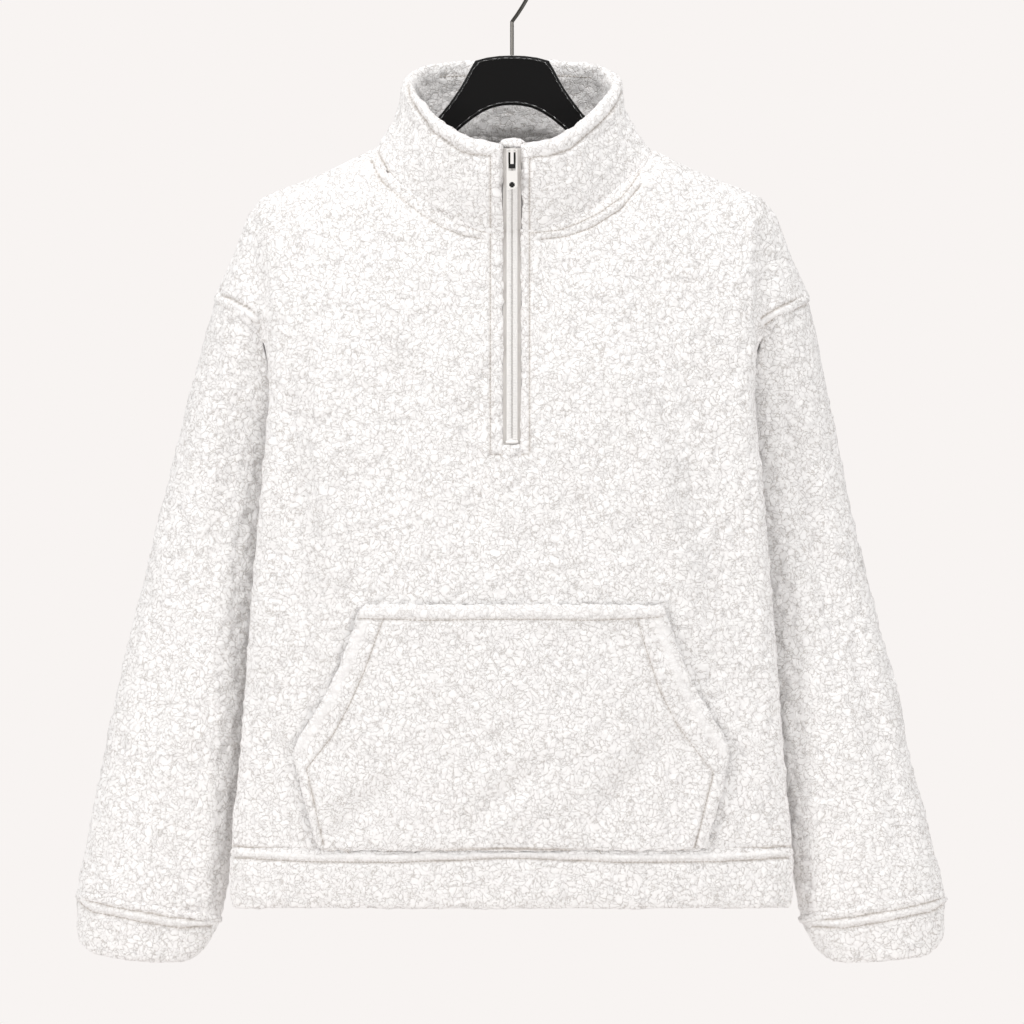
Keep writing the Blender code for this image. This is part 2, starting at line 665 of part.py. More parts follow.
def build_cloth(collection):
    cloth = Cloth()
    for face in ("front", "back"):
        for side in SIDES.values():
            lay_panel(cloth, face, side)
    for hand in SIDES:
        lay_sleeve(cloth, hand)
    lay_hem(cloth)
    collar_rows = lay_collar(cloth)
    body = cloth.normals(["front_panel", "back_panel", "hem_band"])
    sleeves = {hand: cloth.normals(["sleeve_" + hand, "cuff_" + hand]) for hand in SIDES}
    pressed = underarm_keys()
    for normals in sleeves.values():
        share_normals(body, normals)
        for key in pressed & set(normals):
            normals[key] = level_direction(normals[key])
    neck = cloth.normals(["collar"])
    share_normals(body, neck)
    shells = [("front_panel", body, WALL), ("back_panel", body, WALL),
              ("hem_band", body, DOUBLE_WALL), ("collar", neck, COLLAR_WALL)]
    for hand, normals in sleeves.items():
        shells += [("sleeve_" + hand, normals, WALL), ("cuff_" + hand, normals, DOUBLE_WALL)]
    lowest = len(HEM_DROPS) - 1
    cuff_end = SLEEVE_BLEND_ROWS + SLEEVE_ROWS + len(CUFF_DROPS) - 1
    ends = {("hem", lowest), ("left", cuff_end), ("right", cuff_end),
            ("collar", len(COLLAR_LEVELS) - 1)}
    folded = ("hem", "left", "right", "collar")
    for name, normals, wall in shells:
        def inner(key, wall=wall):
            if key in pressed:
                return -UNDERARM_WALL
            return -wall if key[0] in folded else -WALL

        cloth_shell(cloth, name, collection, cloth.faces[name], normals,
                    outer=lambda key: 0.0, inner=inner,
                    rim_test=lambda key: tuple(key[:2]) in ends)
    build_pocket(cloth, collection, body)
    return zip_path(cloth, body, neck, collar_rows)


def underarm_keys():
    # the points round the underarm, where the cloth is pressed thin between body and sleeve
    keys = set()
    for hand, side in SIDES.items():
        ring = armhole_ring(side)
        for place in range(UNDERARM_ROW - 1, UNDERARM_ROW + 2):
            keys.add(ring[place])
            keys.add((hand, 1, place))
    return keys


def build_pocket(cloth, collection, normals):
    faces = [face for face in cloth.faces["front_panel"]
             if all(key[0] == "front" and key[2] >= POCKET_ROW and key[3] <= NECK_COLUMN
                    for key in face)]

    def outer(key):
        on_edge = key[2] == POCKET_ROW or key[3] == NECK_COLUMN
        extra = POCKET_HEM_EXTRA if on_edge else 0
        return LAY_GAP + POCKET_WALL + extra

    cloth_shell(cloth, "kangaroo_pocket", collection, faces, normals,
                outer=outer, inner=lambda key: LAY_GAP)


def zip_path(cloth, body, neck, collar_rows):
    # places and directions down the middle of the slit, from the collar's rim to its end
    stations = []
    for row in reversed(collar_rows):
        left, right = row[0], row[-1]
        stations.append((left, right, neck))
    for row in range(1, SLIT_ROW + 1):
        stations.append((("front", -1, row, 1), ("front", 1, row, 1), body))
    path = []
    for left, right, normals in stations:
        place = (cloth.points[left] + cloth.points[right]) / 2
        normal = normals[left] + normals[right]
        place[0] = normal[0] = 0
        path.append((place, normal / np.linalg.norm(normal)))
    return path


def trim_path(path, top, bottom):
    # the same path between two drops, with its ends cut exactly there
    drops = np.array([-place[2] for place, _ in path])
    depths = np.array([place[1] for place, _ in path])
    normals = np.array([normal for _, normal in path])
    levels = [top] + [drop for drop in drops if top + 2 < drop < bottom - 2] + [bottom]
    cut = []
    for level in levels:
        normal = np.array([np.interp(level, drops, normals[:, axis]) for axis in range(3)])
        cut.append((np.array((0, np.interp(level, drops, depths), -level)),
                    normal / np.linalg.norm(normal)))
    return cut


def lay_strip(name, collection, path, x_range, face_depth, thick, finish):
    # flat strip down the path, its face below the cloth's face by face_depth
    mesh = bmesh.new()
    rings = []
    for place, normal in path:
        ring = []
        for x, depth in ((x_range[0], face_depth), (x_range[1], face_depth),
                         (x_range[1], face_depth + thick), (x_range[0], face_depth + thick)):
            spot = place - normal * depth + np.array((x, 0, 0))
            ring.append(mesh.verts.new(spot * MM))
        rings.append(ring)
    for upper, lower in zip(rings, rings[1:]):
        for i in range(4):
            j = (i + 1) % 4
            mesh.faces.new((upper[i], lower[i], lower[j], upper[j]))
    mesh.faces.new(rings[0])
    mesh.faces.new(rings[-1][::-1])
    bmesh.ops.triangulate(mesh, faces=mesh.faces[:])
    data = bpy.data.meshes.new(name)
    mesh.to_mesh(data)
    mesh.free()
    return new_object(name, data, collection, finish)


def box(name, collection, size, place, bevel=0.0, segments=2, finish=ZIP_METAL):
    mesh = bmesh.new()
    bmesh.ops.create_cube(mesh, size=1.0)
    bmesh.ops.scale(mesh, vec=Vector(size) * MM, verts=mesh.verts)
    bmesh.ops.translate(mesh, vec=Vector(place) * MM, verts=mesh.verts)
    if bevel:
        edges = [edge for edge in mesh.edges
                 if abs((edge.verts[0].co - edge.verts[1].co).normalized().y) > 0.9]
        bmesh.ops.bevel(mesh, geom=edges, offset=bevel * MM, segments=segments, affect="EDGES")
    data = bpy.data.meshes.new(name)
    mesh.to_mesh(data)
    mesh.free()
    return new_object(name, data, collection, finish)


def boolean(thing, cutter, operation):
    modifier = thing.modifiers.new(operation.title() + " " + cutter.name, "BOOLEAN")
    modifier.object = cutter
    modifier.operation = operation
    modifier.solver = "EXACT"
    cutter.hide_render = True
    cutter.display_type = "WIRE"


def build_zip(path, collection, cutters):
    tape_end = SLIT_BOTTOM_DROP - SEAM_GAP
    top = -path[0][0][2] + 1.5
    for name, x_range in (("zip_tape_left", (-SLIT_HALF + 0.4, -0.15)),
                          ("zip_tape_right", (0.15, SLIT_HALF - 0.4))):
        lay_strip(name, collection, trim_path(path, top, tape_end), x_range,
                  TAPE_DEPTH, TAPE_THICK, TAPE)
    chain_depth = TAPE_DEPTH - SEAM_GAP - CHAIN_THICK
    lay_strip("zip_chain", collection, trim_path(path, top + 1, CHAIN_END_DROP),
              (-CHAIN_HALF, CHAIN_HALF), chain_depth, CHAIN_THICK, COIL)

    near = trim_path(path, SLIDER_DROP - SLIDER_LENGTH / 2, SLIDER_DROP + SLIDER_LENGTH / 2)
    face = min(place[1] for place, _ in near) + chain_depth - SEAM_GAP
    front = face - SLIDER_THICK
    slider = box("zip_slider", collection, (SLIDER_WIDTH, SLIDER_THICK, SLIDER_LENGTH),
                 (0, (face + front) / 2, -SLIDER_DROP), bevel=2.2, segments=3)
    reach = BRIDGE_SPACE + BRIDGE_THICK + 0.5
    bridge = box("slider_bridge", cutters, (BRIDGE_WIDTH, reach, BRIDGE_LENGTH),
                 (0, front + 0.5 - reach / 2, -SLIDER_DROP))
    space = box("bridge_space", cutters,
                (BRIDGE_WIDTH * 2, BRIDGE_SPACE, BRIDGE_LENGTH - 2 * BRIDGE_LEG),
                (0, front - BRIDGE_SPACE / 2, -SLIDER_DROP))
    boolean(slider, bridge, "UNION")
    boolean(slider, space, "DIFFERENCE")

    pivot = Vector((0, front - BRIDGE_SPACE / 2, -PULL_DROP)) * MM
    pull = box("zip_pull", collection, (PULL_WIDTH, PULL_THICK, PULL_LENGTH + PULL_BAR),
               (0, 0, (PULL_BAR - PULL_LENGTH) / 2), bevel=1.8, segments=3)
    slot_width, slot_end = PULL_SLOT
    slot = box("pull_slot", cutters, (slot_width, PULL_THICK * 3, slot_end - PULL_BAR),
               (0, 0, -(slot_end + PULL_BAR) / 2))
    hole = box("pull_hole", cutters, (PULL_HOLE, PULL_THICK * 3, PULL_HOLE),
               (0, 0, -PULL_HOLE_DROP), bevel=1.2, segments=3)
    for thing in (pull, slot, hole):
        thing.location = pivot
    boolean(pull, slot, "DIFFERENCE")
    boolean(pull, hole, "DIFFERENCE")


def build_hanger(collection):
    top = list(zip(HANGER_NECK["out"], HANGER_NECK["drop"]))
    top.append((NECK_HALF, NECK_SIDE_DROP + HANGER_SEAT + 2.4))
    for out in (165, 194, HANGER_END_OUT - 4):
        top.append((out, shoulder_drop(out) + HANGER_SEAT))
    end = shoulder_drop(HANGER_END_OUT) + HANGER_SEAT
    tip = [(HANGER_END_OUT, end + 4), (HANGER_END_OUT, end + 12), (HANGER_END_OUT - 5, end + 16)]
    half = top + tip + list(zip(HANGER_ARCH["out"], HANGER_ARCH["drop"]))
    outline = half + [(-out, drop) for out, drop in reversed(half[1:-1])]
    curve = bpy.data.curves.new("hanger_outline", "CURVE")
    curve.dimensions = "2D"
    curve.fill_mode = "BOTH"
    curve.extrude = HANGER_THICK / 2 * MM
    spline = curve.splines.new("POLY")
    spline.points.add(len(outline) - 1)
    for point, (x, drop) in zip(spline.points, outline):
        point.co = (x * MM, -drop * MM, 0, 1)
    spline.use_cyclic_u = True
    flat = bpy.data.objects.new("hanger_outline", curve)
    flat.rotation_euler = (math.pi / 2, 0, 0)
    collection.objects.link(flat)
    body = curve_to_mesh("hanger_body", flat, collection, BLACK_PLASTIC)
    mesh = bmesh.new()
    mesh.from_mesh(body.data)
    bmesh.ops.dissolve_limit(mesh, angle_limit=0.001, verts=mesh.verts, edges=mesh.edges)
    mesh.to_mesh(body.data)
    mesh.free()
    bevel = body.modifiers.new("Rounded edges", "BEVEL")
    bevel.width = HANGER_BEVEL * MM
    bevel.segments = 2
    bevel.limit_method = "ANGLE"
    bevel.angle_limit = math.radians(50)


def curve_to_mesh(name, flat, collection, finish):
    bpy.context.view_layer.update()
    graph = bpy.context.evaluated_depsgraph_get()
    data = bpy.data.meshes.new_from_object(flat.evaluated_get(graph))
    data.transform(flat.matrix_world)
    mesh = bmesh.new()
    mesh.from_mesh(data)
    bmesh.ops.remove_doubles(mesh, verts=mesh.verts, dist=1e-6)
    bmesh.ops.recalc_face_normals(mesh, faces=mesh.faces)
    mesh.to_mesh(data)
    mesh.free()
    bpy.data.objects.remove(flat)
    data.name = name
    return new_object(name, data, collection, finish)


def hook_route():
    crook = HOOK_RADIUS - HOOK_WIRE / 2
    shank_top = HANGER_TOP_DROP - HOOK_SHANK
    route = [(0, HANGER_TOP_DROP - SEAM_GAP), (0, shank_top + 6)]
    bend = ((0, shank_top + 2), (HOOK_RADIUS, 38), (HOOK_RADIUS, crook))
    for step in range(9):
        share = step / 8
        place = [(1 - share) ** 2 * bend[0][i] + 2 * share * (1 - share) * bend[1][i]
                 + share ** 2 * bend[2][i] for i in range(2)]
        route.append(tuple(place))
    for step in range(1, 19):
        turn = HOOK_TIP_ANGLE * step / 18
        route.append((HOOK_RADIUS * math.cos(turn), crook - HOOK_RADIUS * math.sin(turn)))
    return route


def build_hook(collection):
    curve = bpy.data.curves.new("hook_route", "CURVE")
    curve.dimensions = "3D"
    curve.bevel_depth = HOOK_WIRE / 2 * MM
    curve.bevel_resolution = 2
    curve.use_fill_caps = True
    route = hook_route()
    spline = curve.splines.new("POLY")
    spline.points.add(len(route) - 1)
    for point, (x, drop) in zip(spline.points, route):
        point.co = (x * MM, 0, -drop * MM, 1)
    flat = bpy.data.objects.new("hook_route", curve)
    collection.objects.link(flat)
    hook = curve_to_mesh("hanger_hook", flat, collection, DARK_STEEL)
    hook.data.shade_smooth()
    hook.data.set_sharp_from_angle(angle=math.radians(40))


def main():
    for thing in list(bpy.data.objects):
        bpy.data.objects.remove(thing)
    scene = bpy.context.scene
    parts = bpy.data.collections.new("half_zip_pullover")
    cutters = bpy.data.collections.new("cutters")
    scene.collection.children.link(parts)
    scene.collection.children.link(cutters)
    path = build_cloth(parts)
    build_zip(path, parts, cutters)
    build_hanger(parts)
    build_hook(parts)


main()
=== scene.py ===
import json
import math
import bmesh
import bpy
import numpy as np
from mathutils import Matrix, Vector
from mathutils.bvhtree import BVHTree
from mathutils.kdtree import KDTree

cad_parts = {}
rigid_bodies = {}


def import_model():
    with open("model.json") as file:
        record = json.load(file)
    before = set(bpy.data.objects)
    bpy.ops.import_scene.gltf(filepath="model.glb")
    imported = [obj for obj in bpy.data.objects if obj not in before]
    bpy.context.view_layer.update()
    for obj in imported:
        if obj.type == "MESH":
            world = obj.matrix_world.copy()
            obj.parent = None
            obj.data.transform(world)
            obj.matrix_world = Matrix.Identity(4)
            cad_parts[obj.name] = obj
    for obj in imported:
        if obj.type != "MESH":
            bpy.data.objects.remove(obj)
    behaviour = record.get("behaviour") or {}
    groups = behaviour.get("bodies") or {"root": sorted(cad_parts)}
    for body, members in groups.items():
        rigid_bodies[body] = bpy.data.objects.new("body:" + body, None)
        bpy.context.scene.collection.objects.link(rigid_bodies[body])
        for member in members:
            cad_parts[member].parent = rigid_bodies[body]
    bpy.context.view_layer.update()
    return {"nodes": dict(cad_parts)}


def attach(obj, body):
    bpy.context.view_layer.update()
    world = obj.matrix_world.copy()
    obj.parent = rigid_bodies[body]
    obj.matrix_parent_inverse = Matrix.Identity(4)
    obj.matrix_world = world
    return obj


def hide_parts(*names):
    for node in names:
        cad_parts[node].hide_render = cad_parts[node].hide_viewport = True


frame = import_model()
print("frame loaded")

# The photograph's grid: pixels of 0.95 mm, and the hook's crook is the origin.
photo = {"pixels": 1024, "step": 0.00095, "centreColumn": 512, "topRow": 57, "topDrop": 0.101,
         "distance": 20.0, "sensor": 36}


def placeOf(column, row):
    x = (column - photo["centreColumn"]) * photo["step"]
    return x, -photo["topDrop"] - (row - photo["topRow"]) * photo["step"]


def heightOf(row):
    return placeOf(photo["centreColumn"], row)[1]


# Small helpers
def linearColour(hexText):
    parts = [int(hexText[i:i + 2], 16) / 255 for i in (1, 3, 5)]
    return [c / 12.92 if c <= 0.04045 else ((c + 0.055) / 1.055) ** 2.4 for c in parts] + [1.0]


def addNode(tree, kind, settings=None, links=None):
    node = tree.nodes.new(kind)
    for key, value in (settings or {}).items():
        if isinstance(key, int) or key in node.inputs:
            node.inputs[key].default_value = value
        else:
            setattr(node, key, value)
    for key, socket in (links or {}).items():
        tree.links.new(socket, node.inputs[key])
    return node


def newMaterial(name, settings):
    material = bpy.data.materials.new(name)
    material.use_nodes = True
    tree = material.node_tree
    tree.nodes.clear()
    shader = addNode(tree, "ShaderNodeBsdfPrincipled", settings)
    addNode(tree, "ShaderNodeOutputMaterial", links={"Surface": shader.outputs[0]})
    return material, tree, shader


def colourRamp(tree, factor, stops):
    ramp = addNode(tree, "ShaderNodeValToRGB", links={"Fac": factor})
    elements = ramp.color_ramp.elements
    while len(elements) < len(stops):
        elements.new(0.5)
    for element, (place, colour) in zip(elements, stops):
        element.position = place
        element.color = linearColour(colour)
    return ramp


def newPiece(name, mesh, material, body):
    piece = bpy.data.objects.new(name, mesh)
    bpy.context.scene.collection.objects.link(piece)
    piece.data.materials.clear()
    piece.data.materials.append(material)
    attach(piece, body)
    return piece


def meshFrom(name, points, faces):
    mesh = bpy.data.meshes.new(name)
    mesh.from_pydata([tuple(p) for p in points], [], [tuple(f) for f in faces])
    mesh.shade_smooth()
    return mesh


# Noise for the pile
directions = np.random.default_rng(5).normal(size=(256, 3))
directions /= np.linalg.norm(directions, axis=1)[:, None]
mixers = (73856093, 19349663, 83492791)  # large primes that mix a cell's place into one number


def cloud(points, size, seed):
    # Gradient noise, about -0.6 to 0.6, with cells of the given size in metres
    q = points / size + seed * 7.31
    cell = np.floor(q).astype(np.int64)
    part = q - cell
    ease = part ** 3 * (part * (part * 6 - 15) + 10)
    total = np.zeros(len(points))
    for steps in np.ndindex(2, 2, 2):
        corner = np.array(steps)
        spot = cell + corner
        mixed = (spot[:, 0] * mixers[0]) ^ (spot[:, 1] * mixers[1]) ^ (spot[:, 2] * mixers[2]) ^ (seed * 9176)
        mixed = ((mixed ^ (mixed >> 11)) * 1274126177) & 0xFFFFFFFF
        slope = directions[(mixed >> 9) & 255]
        weight = np.prod(np.where(corner, ease, 1 - ease), axis=1)
        total += weight * ((part - corner) * slope).sum(axis=1)
    return total


def smooth(low, high, value):
    t = np.clip((value - low) / (high - low), 0, 1)
    return t * t * (3 - 2 * t)


# Materials
# Sherpa fleece: knitted polyester with a brushed, curled pile. It is matt and scatters almost all
# light; the warm grey down in the creases between the curls is painted shade. Curls of 4 to 6 mm, wound
# by noise of 3 to 12 mm; the fibre, which is far finer, is drawn at 1.1 mm so that it shows.
fleeceLook = {"curl": 0.0060, "curlCrease": 0.10, "smallCurl": 0.0042, "smallCrease": 0.11,
              "warp": 0.012, "bend": 0.009, "kink": 0.0028, "kinkBend": 0.0034,
              "patch": 0.009, "gate": 0.0045, "faded": 0.65, "apart": (0.31, 0.17, 0.23),
              "fibre": 0.0011, "fibreHeight": 0.55, "bumpStrength": 0.6, "bumpHeight": 0.0010,
              "pile": "#FBF9F8", "paintedCreviceShade": "#D2CDC9", "paintedGrooveShade": "#C9C2BB"}


def creaseLines(tree, place, across, width):
    # Thin winding creases where the cells of curled pile meet: 0 in a crease, 1 away from it
    cells = addNode(tree, "ShaderNodeTexVoronoi", {
        "feature": "DISTANCE_TO_EDGE", "Scale": 1 / across, "Randomness": 1.0}, {"Vector": place})
    return addNode(tree, "ShaderNodeMapRange", {"interpolation_type": "SMOOTHSTEP", "From Max": width},
                   {"Value": cells.outputs["Distance"]}).outputs[0]


def softNoise(tree, place, across, detail=0.0):
    return addNode(tree, "ShaderNodeTexNoise", {"Scale": 1 / across, "Detail": detail}, {"Vector": place})


def makeFleece(name, look):
    material, tree, shader = newMaterial(name, {"Roughness": 0.95, "Specular IOR Level": 0.2})
    place = addNode(tree, "ShaderNodeTexCoord").outputs["Object"]
    # Two noises bend the place, so that the creases wind
    drift = softNoise(tree, place, look["warp"])
    bent = addNode(tree, "ShaderNodeVectorMath", {"operation": "MULTIPLY_ADD", 1: (look["bend"],) * 3},
                   {0: drift.outputs["Color"], 2: place}).outputs[0]
    wiggle = softNoise(tree, place, look["kink"], 1.0)
    bent = addNode(tree, "ShaderNodeVectorMath", {"operation": "MULTIPLY_ADD", 1: (look["kinkBend"],) * 3},
                   {0: wiggle.outputs["Color"], 2: bent}).outputs[0]
    large = creaseLines(tree, bent, look["curl"], look["curlCrease"])
    shifted = addNode(tree, "ShaderNodeVectorMath", {"operation": "ADD", 1: look["apart"]},
                      {0: bent}).outputs[0]
    small = creaseLines(tree, shifted, look["smallCurl"], look["smallCrease"])
    # Patches take the large or the small creases, and a gate fades either
    patch = softNoise(tree, place, look["patch"]).outputs[0]
    noLarge = addNode(tree, "ShaderNodeMapRange", {"From Min": 0.50, "From Max": 0.60}, {"Value": patch})
    noSmall = addNode(tree, "ShaderNodeMapRange", {"From Min": 0.50, "From Max": 0.42}, {"Value": patch})
    largeThere = addNode(tree, "ShaderNodeMath", {"operation": "MAXIMUM"}, {0: large, 1: noLarge.outputs[0]})
    smallThere = addNode(tree, "ShaderNodeMath", {"operation": "MAXIMUM"}, {0: small, 1: noSmall.outputs[0]})
    both = addNode(tree, "ShaderNodeMath", {"operation": "MINIMUM"},
                   {0: largeThere.outputs[0], 1: smallThere.outputs[0]})
    gate = softNoise(tree, shifted, look["gate"], 1.0)
    faded = addNode(tree, "ShaderNodeMapRange", {"From Min": 0.50, "From Max": 0.68, "To Max": look["faded"]},
                    {"Value": gate.outputs[0]})
    both = addNode(tree, "ShaderNodeMath", {"operation": "MAXIMUM"},
                   {0: both.outputs[0], 1: faded.outputs[0]})
    calm = addNode(tree, "ShaderNodeAttribute", {"attribute_name": "calm"})
    lift = addNode(tree, "ShaderNodeMath", {"operation": "MAXIMUM"},
                   {0: both.outputs[0], 1: calm.outputs["Fac"]})
    fibre = addNode(tree, "ShaderNodeTexNoise", {
        "Scale": 1 / look["fibre"], "Detail": 1.0, "Roughness": 0.65}, {"Vector": place})
    # Painted shade: the crease mask darkens the pile colour towards the crevice grey; the same mask also
    # drives the bump.
    colour = colourRamp(tree, lift.outputs[0], [(0.0, look["paintedCreviceShade"]), (0.6, look["pile"])])
    # Painted shade: the groove attribute darkens the pile in the stitch grooves by multiplying in the groove
    # grey.
    grooveShadeMask = addNode(tree, "ShaderNodeAttribute", {"attribute_name": "paintedGrooveShade"})
    grooveShaded = addNode(tree, "ShaderNodeMix", {"data_type": "RGBA", "blend_type": "MULTIPLY"})
    grooveShaded.inputs[7].default_value = linearColour(look["paintedGrooveShade"])
    tree.links.new(grooveShadeMask.outputs["Fac"], grooveShaded.inputs[0])
    tree.links.new(colour.outputs[0], grooveShaded.inputs[6])
    tree.links.new(grooveShaded.outputs[2], shader.inputs["Base Color"])
    height = addNode(tree, "ShaderNodeMath", {"operation": "MULTIPLY_ADD", 1: look["fibreHeight"]},
                     {0: fibre.outputs[0], 2: lift.outputs[0]})
    deep = addNode(tree, "ShaderNodeBump", {"Strength": look["bumpStrength"], "Distance": look["bumpHeight"]},
                   {"Height": height.outputs[0]})
    tree.links.new(deep.outputs[0], shader.inputs["Normal"])
    return material


fleece = makeFleece("sherpaFleece", fleeceLook)
# Matt moulded polystyrene: nearly black, with a soft broad highlight along its rim.
blackPlastic, _, _ = newMaterial("mouldedPolystyrene", {
    "Base Color": linearColour("#0C0B0B"), "Roughness": 0.38, "IOR": 1.5, "Specular IOR Level": 0.2})
# Blackened drawn steel wire: dark, with narrow glints.
steelWire, _, _ = newMaterial("drawnSteelWire", {
    "Base Color": linearColour("#4A4845"), "Metallic": 1.0, "Roughness": 0.32})
# Painted zinc die-casting: white enamel over metal, so it is glossy but not metallic.
whiteEnamel, _, _ = newMaterial("whiteEnamelZinc", {
    "Base Color": linearColour("#EDEAE6"), "Roughness": 0.3, "Coat Weight": 0.4, "Coat Roughness": 0.1})
# Polyester monofilament coil: a white, slightly glossy plastic thread.
coilPlastic, _, _ = newMaterial("polyesterCoil", {
    "Base Color": linearColour("#F6F4F2"), "Roughness": 0.45, "IOR": 1.57})
# Woven polyester tape, with a fine rib across it every 0.75 mm.
# Its grey is partly the tape's own colour and partly painted shade of the recess beside the coil rows.
tapeLook = {"colour": "#D2CECA", "rib": 0.000754, "ribHeight": 0.0002}
tapeWeave, tapeTree, tapeShader = newMaterial("wovenPolyesterTape", {
    "Base Color": linearColour(tapeLook["colour"]), "Roughness": 0.85, "Sheen Weight": 0.2})
tapePlace = addNode(tapeTree, "ShaderNodeTexCoord").outputs["Object"]
tapeRib = addNode(tapeTree, "ShaderNodeTexWave", {  # the wave node turns 20 times for each unit of scale
    "bands_direction": "Z", "Scale": 2 * math.pi / 20 / tapeLook["rib"]}, {"Vector": tapePlace})
tapeBump = addNode(tapeTree, "ShaderNodeBump", {"Strength": 0.6, "Distance": tapeLook["ribHeight"]},
                   {"Height": tapeRib.outputs[0]})
tapeTree.links.new(tapeBump.outputs[0], tapeShader.inputs["Normal"])
print("materials made")

# The seams and stitch lines, as pixels of the photograph
# Each line: side of the garment, whether it is mirrored about column 512, points, half-width and depth
# in mm, and how smooth the pile lies there; a negative depth is a raised band
hemTop = [(233, 846), (300, 850), (400, 851), (512, 848), (620, 851), (720, 850), (791, 846)]
hemLow = [(233, 857), (300, 861), (400, 861.5), (512, 857), (620, 861.5), (720, 861), (791, 857)]
cuffTop = [(74, 893), (90, 901), (110, 906), (130, 910), (150, 913), (170, 917), (190, 919), (216, 919)]
cuffLow = [(72, 896), (82, 906), (92, 912), (110, 915), (140, 921.6), (160, 925), (180, 928), (213, 927)]
neckTopLeft = [(378.5, 152), (387, 171), (403, 189), (419, 201), (440, 211.5), (459, 224), (480, 232),
               (501, 234)]
neckTopRight = [(531, 234), (559, 231), (580, 223), (599, 214), (620, 199), (632, 185), (640, 171)]
neckLowLeft = [(370, 157), (381, 180), (398, 196), (419, 213), (440, 227), (461, 235.5), (485, 240)]
neckLowRight = [(541, 240), (566, 237), (592, 228), (620, 210), (641, 185)]
pocketLeft = [(384, 618), (376, 639), (365, 670), (350, 704), (333, 735), (307, 768), (324, 845)]
pocketRight = [(637, 620), (646, 649), (658, 687), (677, 725), (713, 773), (694, 849)]
rimLeft = [(408, 84), (410, 99.5), (420.5, 115), (433, 133), (447, 143), (461, 153), (475, 156), (490.5, 157)]
rimRight = [(622, 92), (613, 110), (599, 126), (583, 139), (569, 151), (550, 157), (534, 158), (529.5, 160)]


def between(first, second):
    return [((a + c) / 2, (b + d) / 2) for (a, b), (c, d) in zip(first, second)]


stitchLines = [
    ("both", False, hemTop, 1.8, 0.7, 0.3), ("both", False, hemLow, 1.8, 2.2, 0.3),
    ("both", False, between(hemTop, hemLow), 2.6, -1.0, 0.5),
    ("both", True, cuffTop, 1.8, 0.8, 0.3), ("both", True, cuffLow, 1.8, 2.0, 0.3),
    ("both", True, between(cuffTop, cuffLow), 2.6, -1.2, 0.4),
    ("front", False, pocketLeft, 1.7, 2.2, 0.3), ("front", False, pocketRight, 1.7, 2.2, 0.3),
    ("front", False, [(360, 618), (420, 620), (512, 619), (600, 620), (663, 617)], 1.7, 2.6, 0.3),
    ("front", False, [(362, 610), (420, 611), (512, 611), (600, 611), (661, 609)], 5.0, -1.2, 0.3),
    ("front", False, [(366, 620), (357, 641), (346, 669), (331, 700), (313, 729), (298, 749)],
     4.5, -0.9, 0.5),
    ("front", False, [(657, 620), (668, 652), (684, 690), (704, 725), (724, 750)], 4.5, -0.9, 0.5),
    ("front", False, neckTopLeft, 1.7, 0.7, 0.3), ("front", False, neckTopRight, 1.7, 0.7, 0.3),
    ("front", False, neckLowLeft, 1.7, 2.2, 0.3), ("front", False, neckLowRight, 1.7, 2.2, 0.3),
    ("front", False, rimLeft + [(490.5, 300), (490.5, 455)], 1.7, 2.0, 0.3),
    ("front", False, rimRight + [(529.5, 300), (529.5, 455)], 1.7, 2.0, 0.3),
    ("front", False, [(414, 84), (425, 108), (437, 122), (452, 134), (468, 145), (488, 148)], 5.0, -1.7, 0.2),
    ("front", False, [(609, 86), (603, 102), (592, 116), (576, 130), (560, 143), (532, 149)], 5.0, -1.7, 0.2),
    ("front", False, [(439, 76), (465, 75), (512, 75), (559, 75), (594, 77)], 1.3, 1.6, 0),
    ("front", False, [(490.5, 455), (529.5, 455)], 1.3, 1.3, 0),
    ("both", False, [(221, 295), (234, 300), (247, 307), (259, 316)], 1.3, 1.2, 0),
    ("both", False, [(217, 302), (232, 309), (243, 315), (256, 325)], 1.3, 1.4, 0),
    ("both", False, [(219, 298), (233, 304.5), (245, 311), (257.5, 320)], 2.8, -1.5, 0.7),
    ("both", False, [(808, 296), (790, 302), (775, 309), (757, 320)], 1.3, 1.2, 0),
    ("both", False, [(812, 303), (794, 309), (779, 316), (761, 327)], 1.3, 1.4, 0),
    ("both", False, [(810, 299.5), (792, 305.5), (777, 312.5), (759, 323.5)], 2.8, -1.5, 0.7),
]
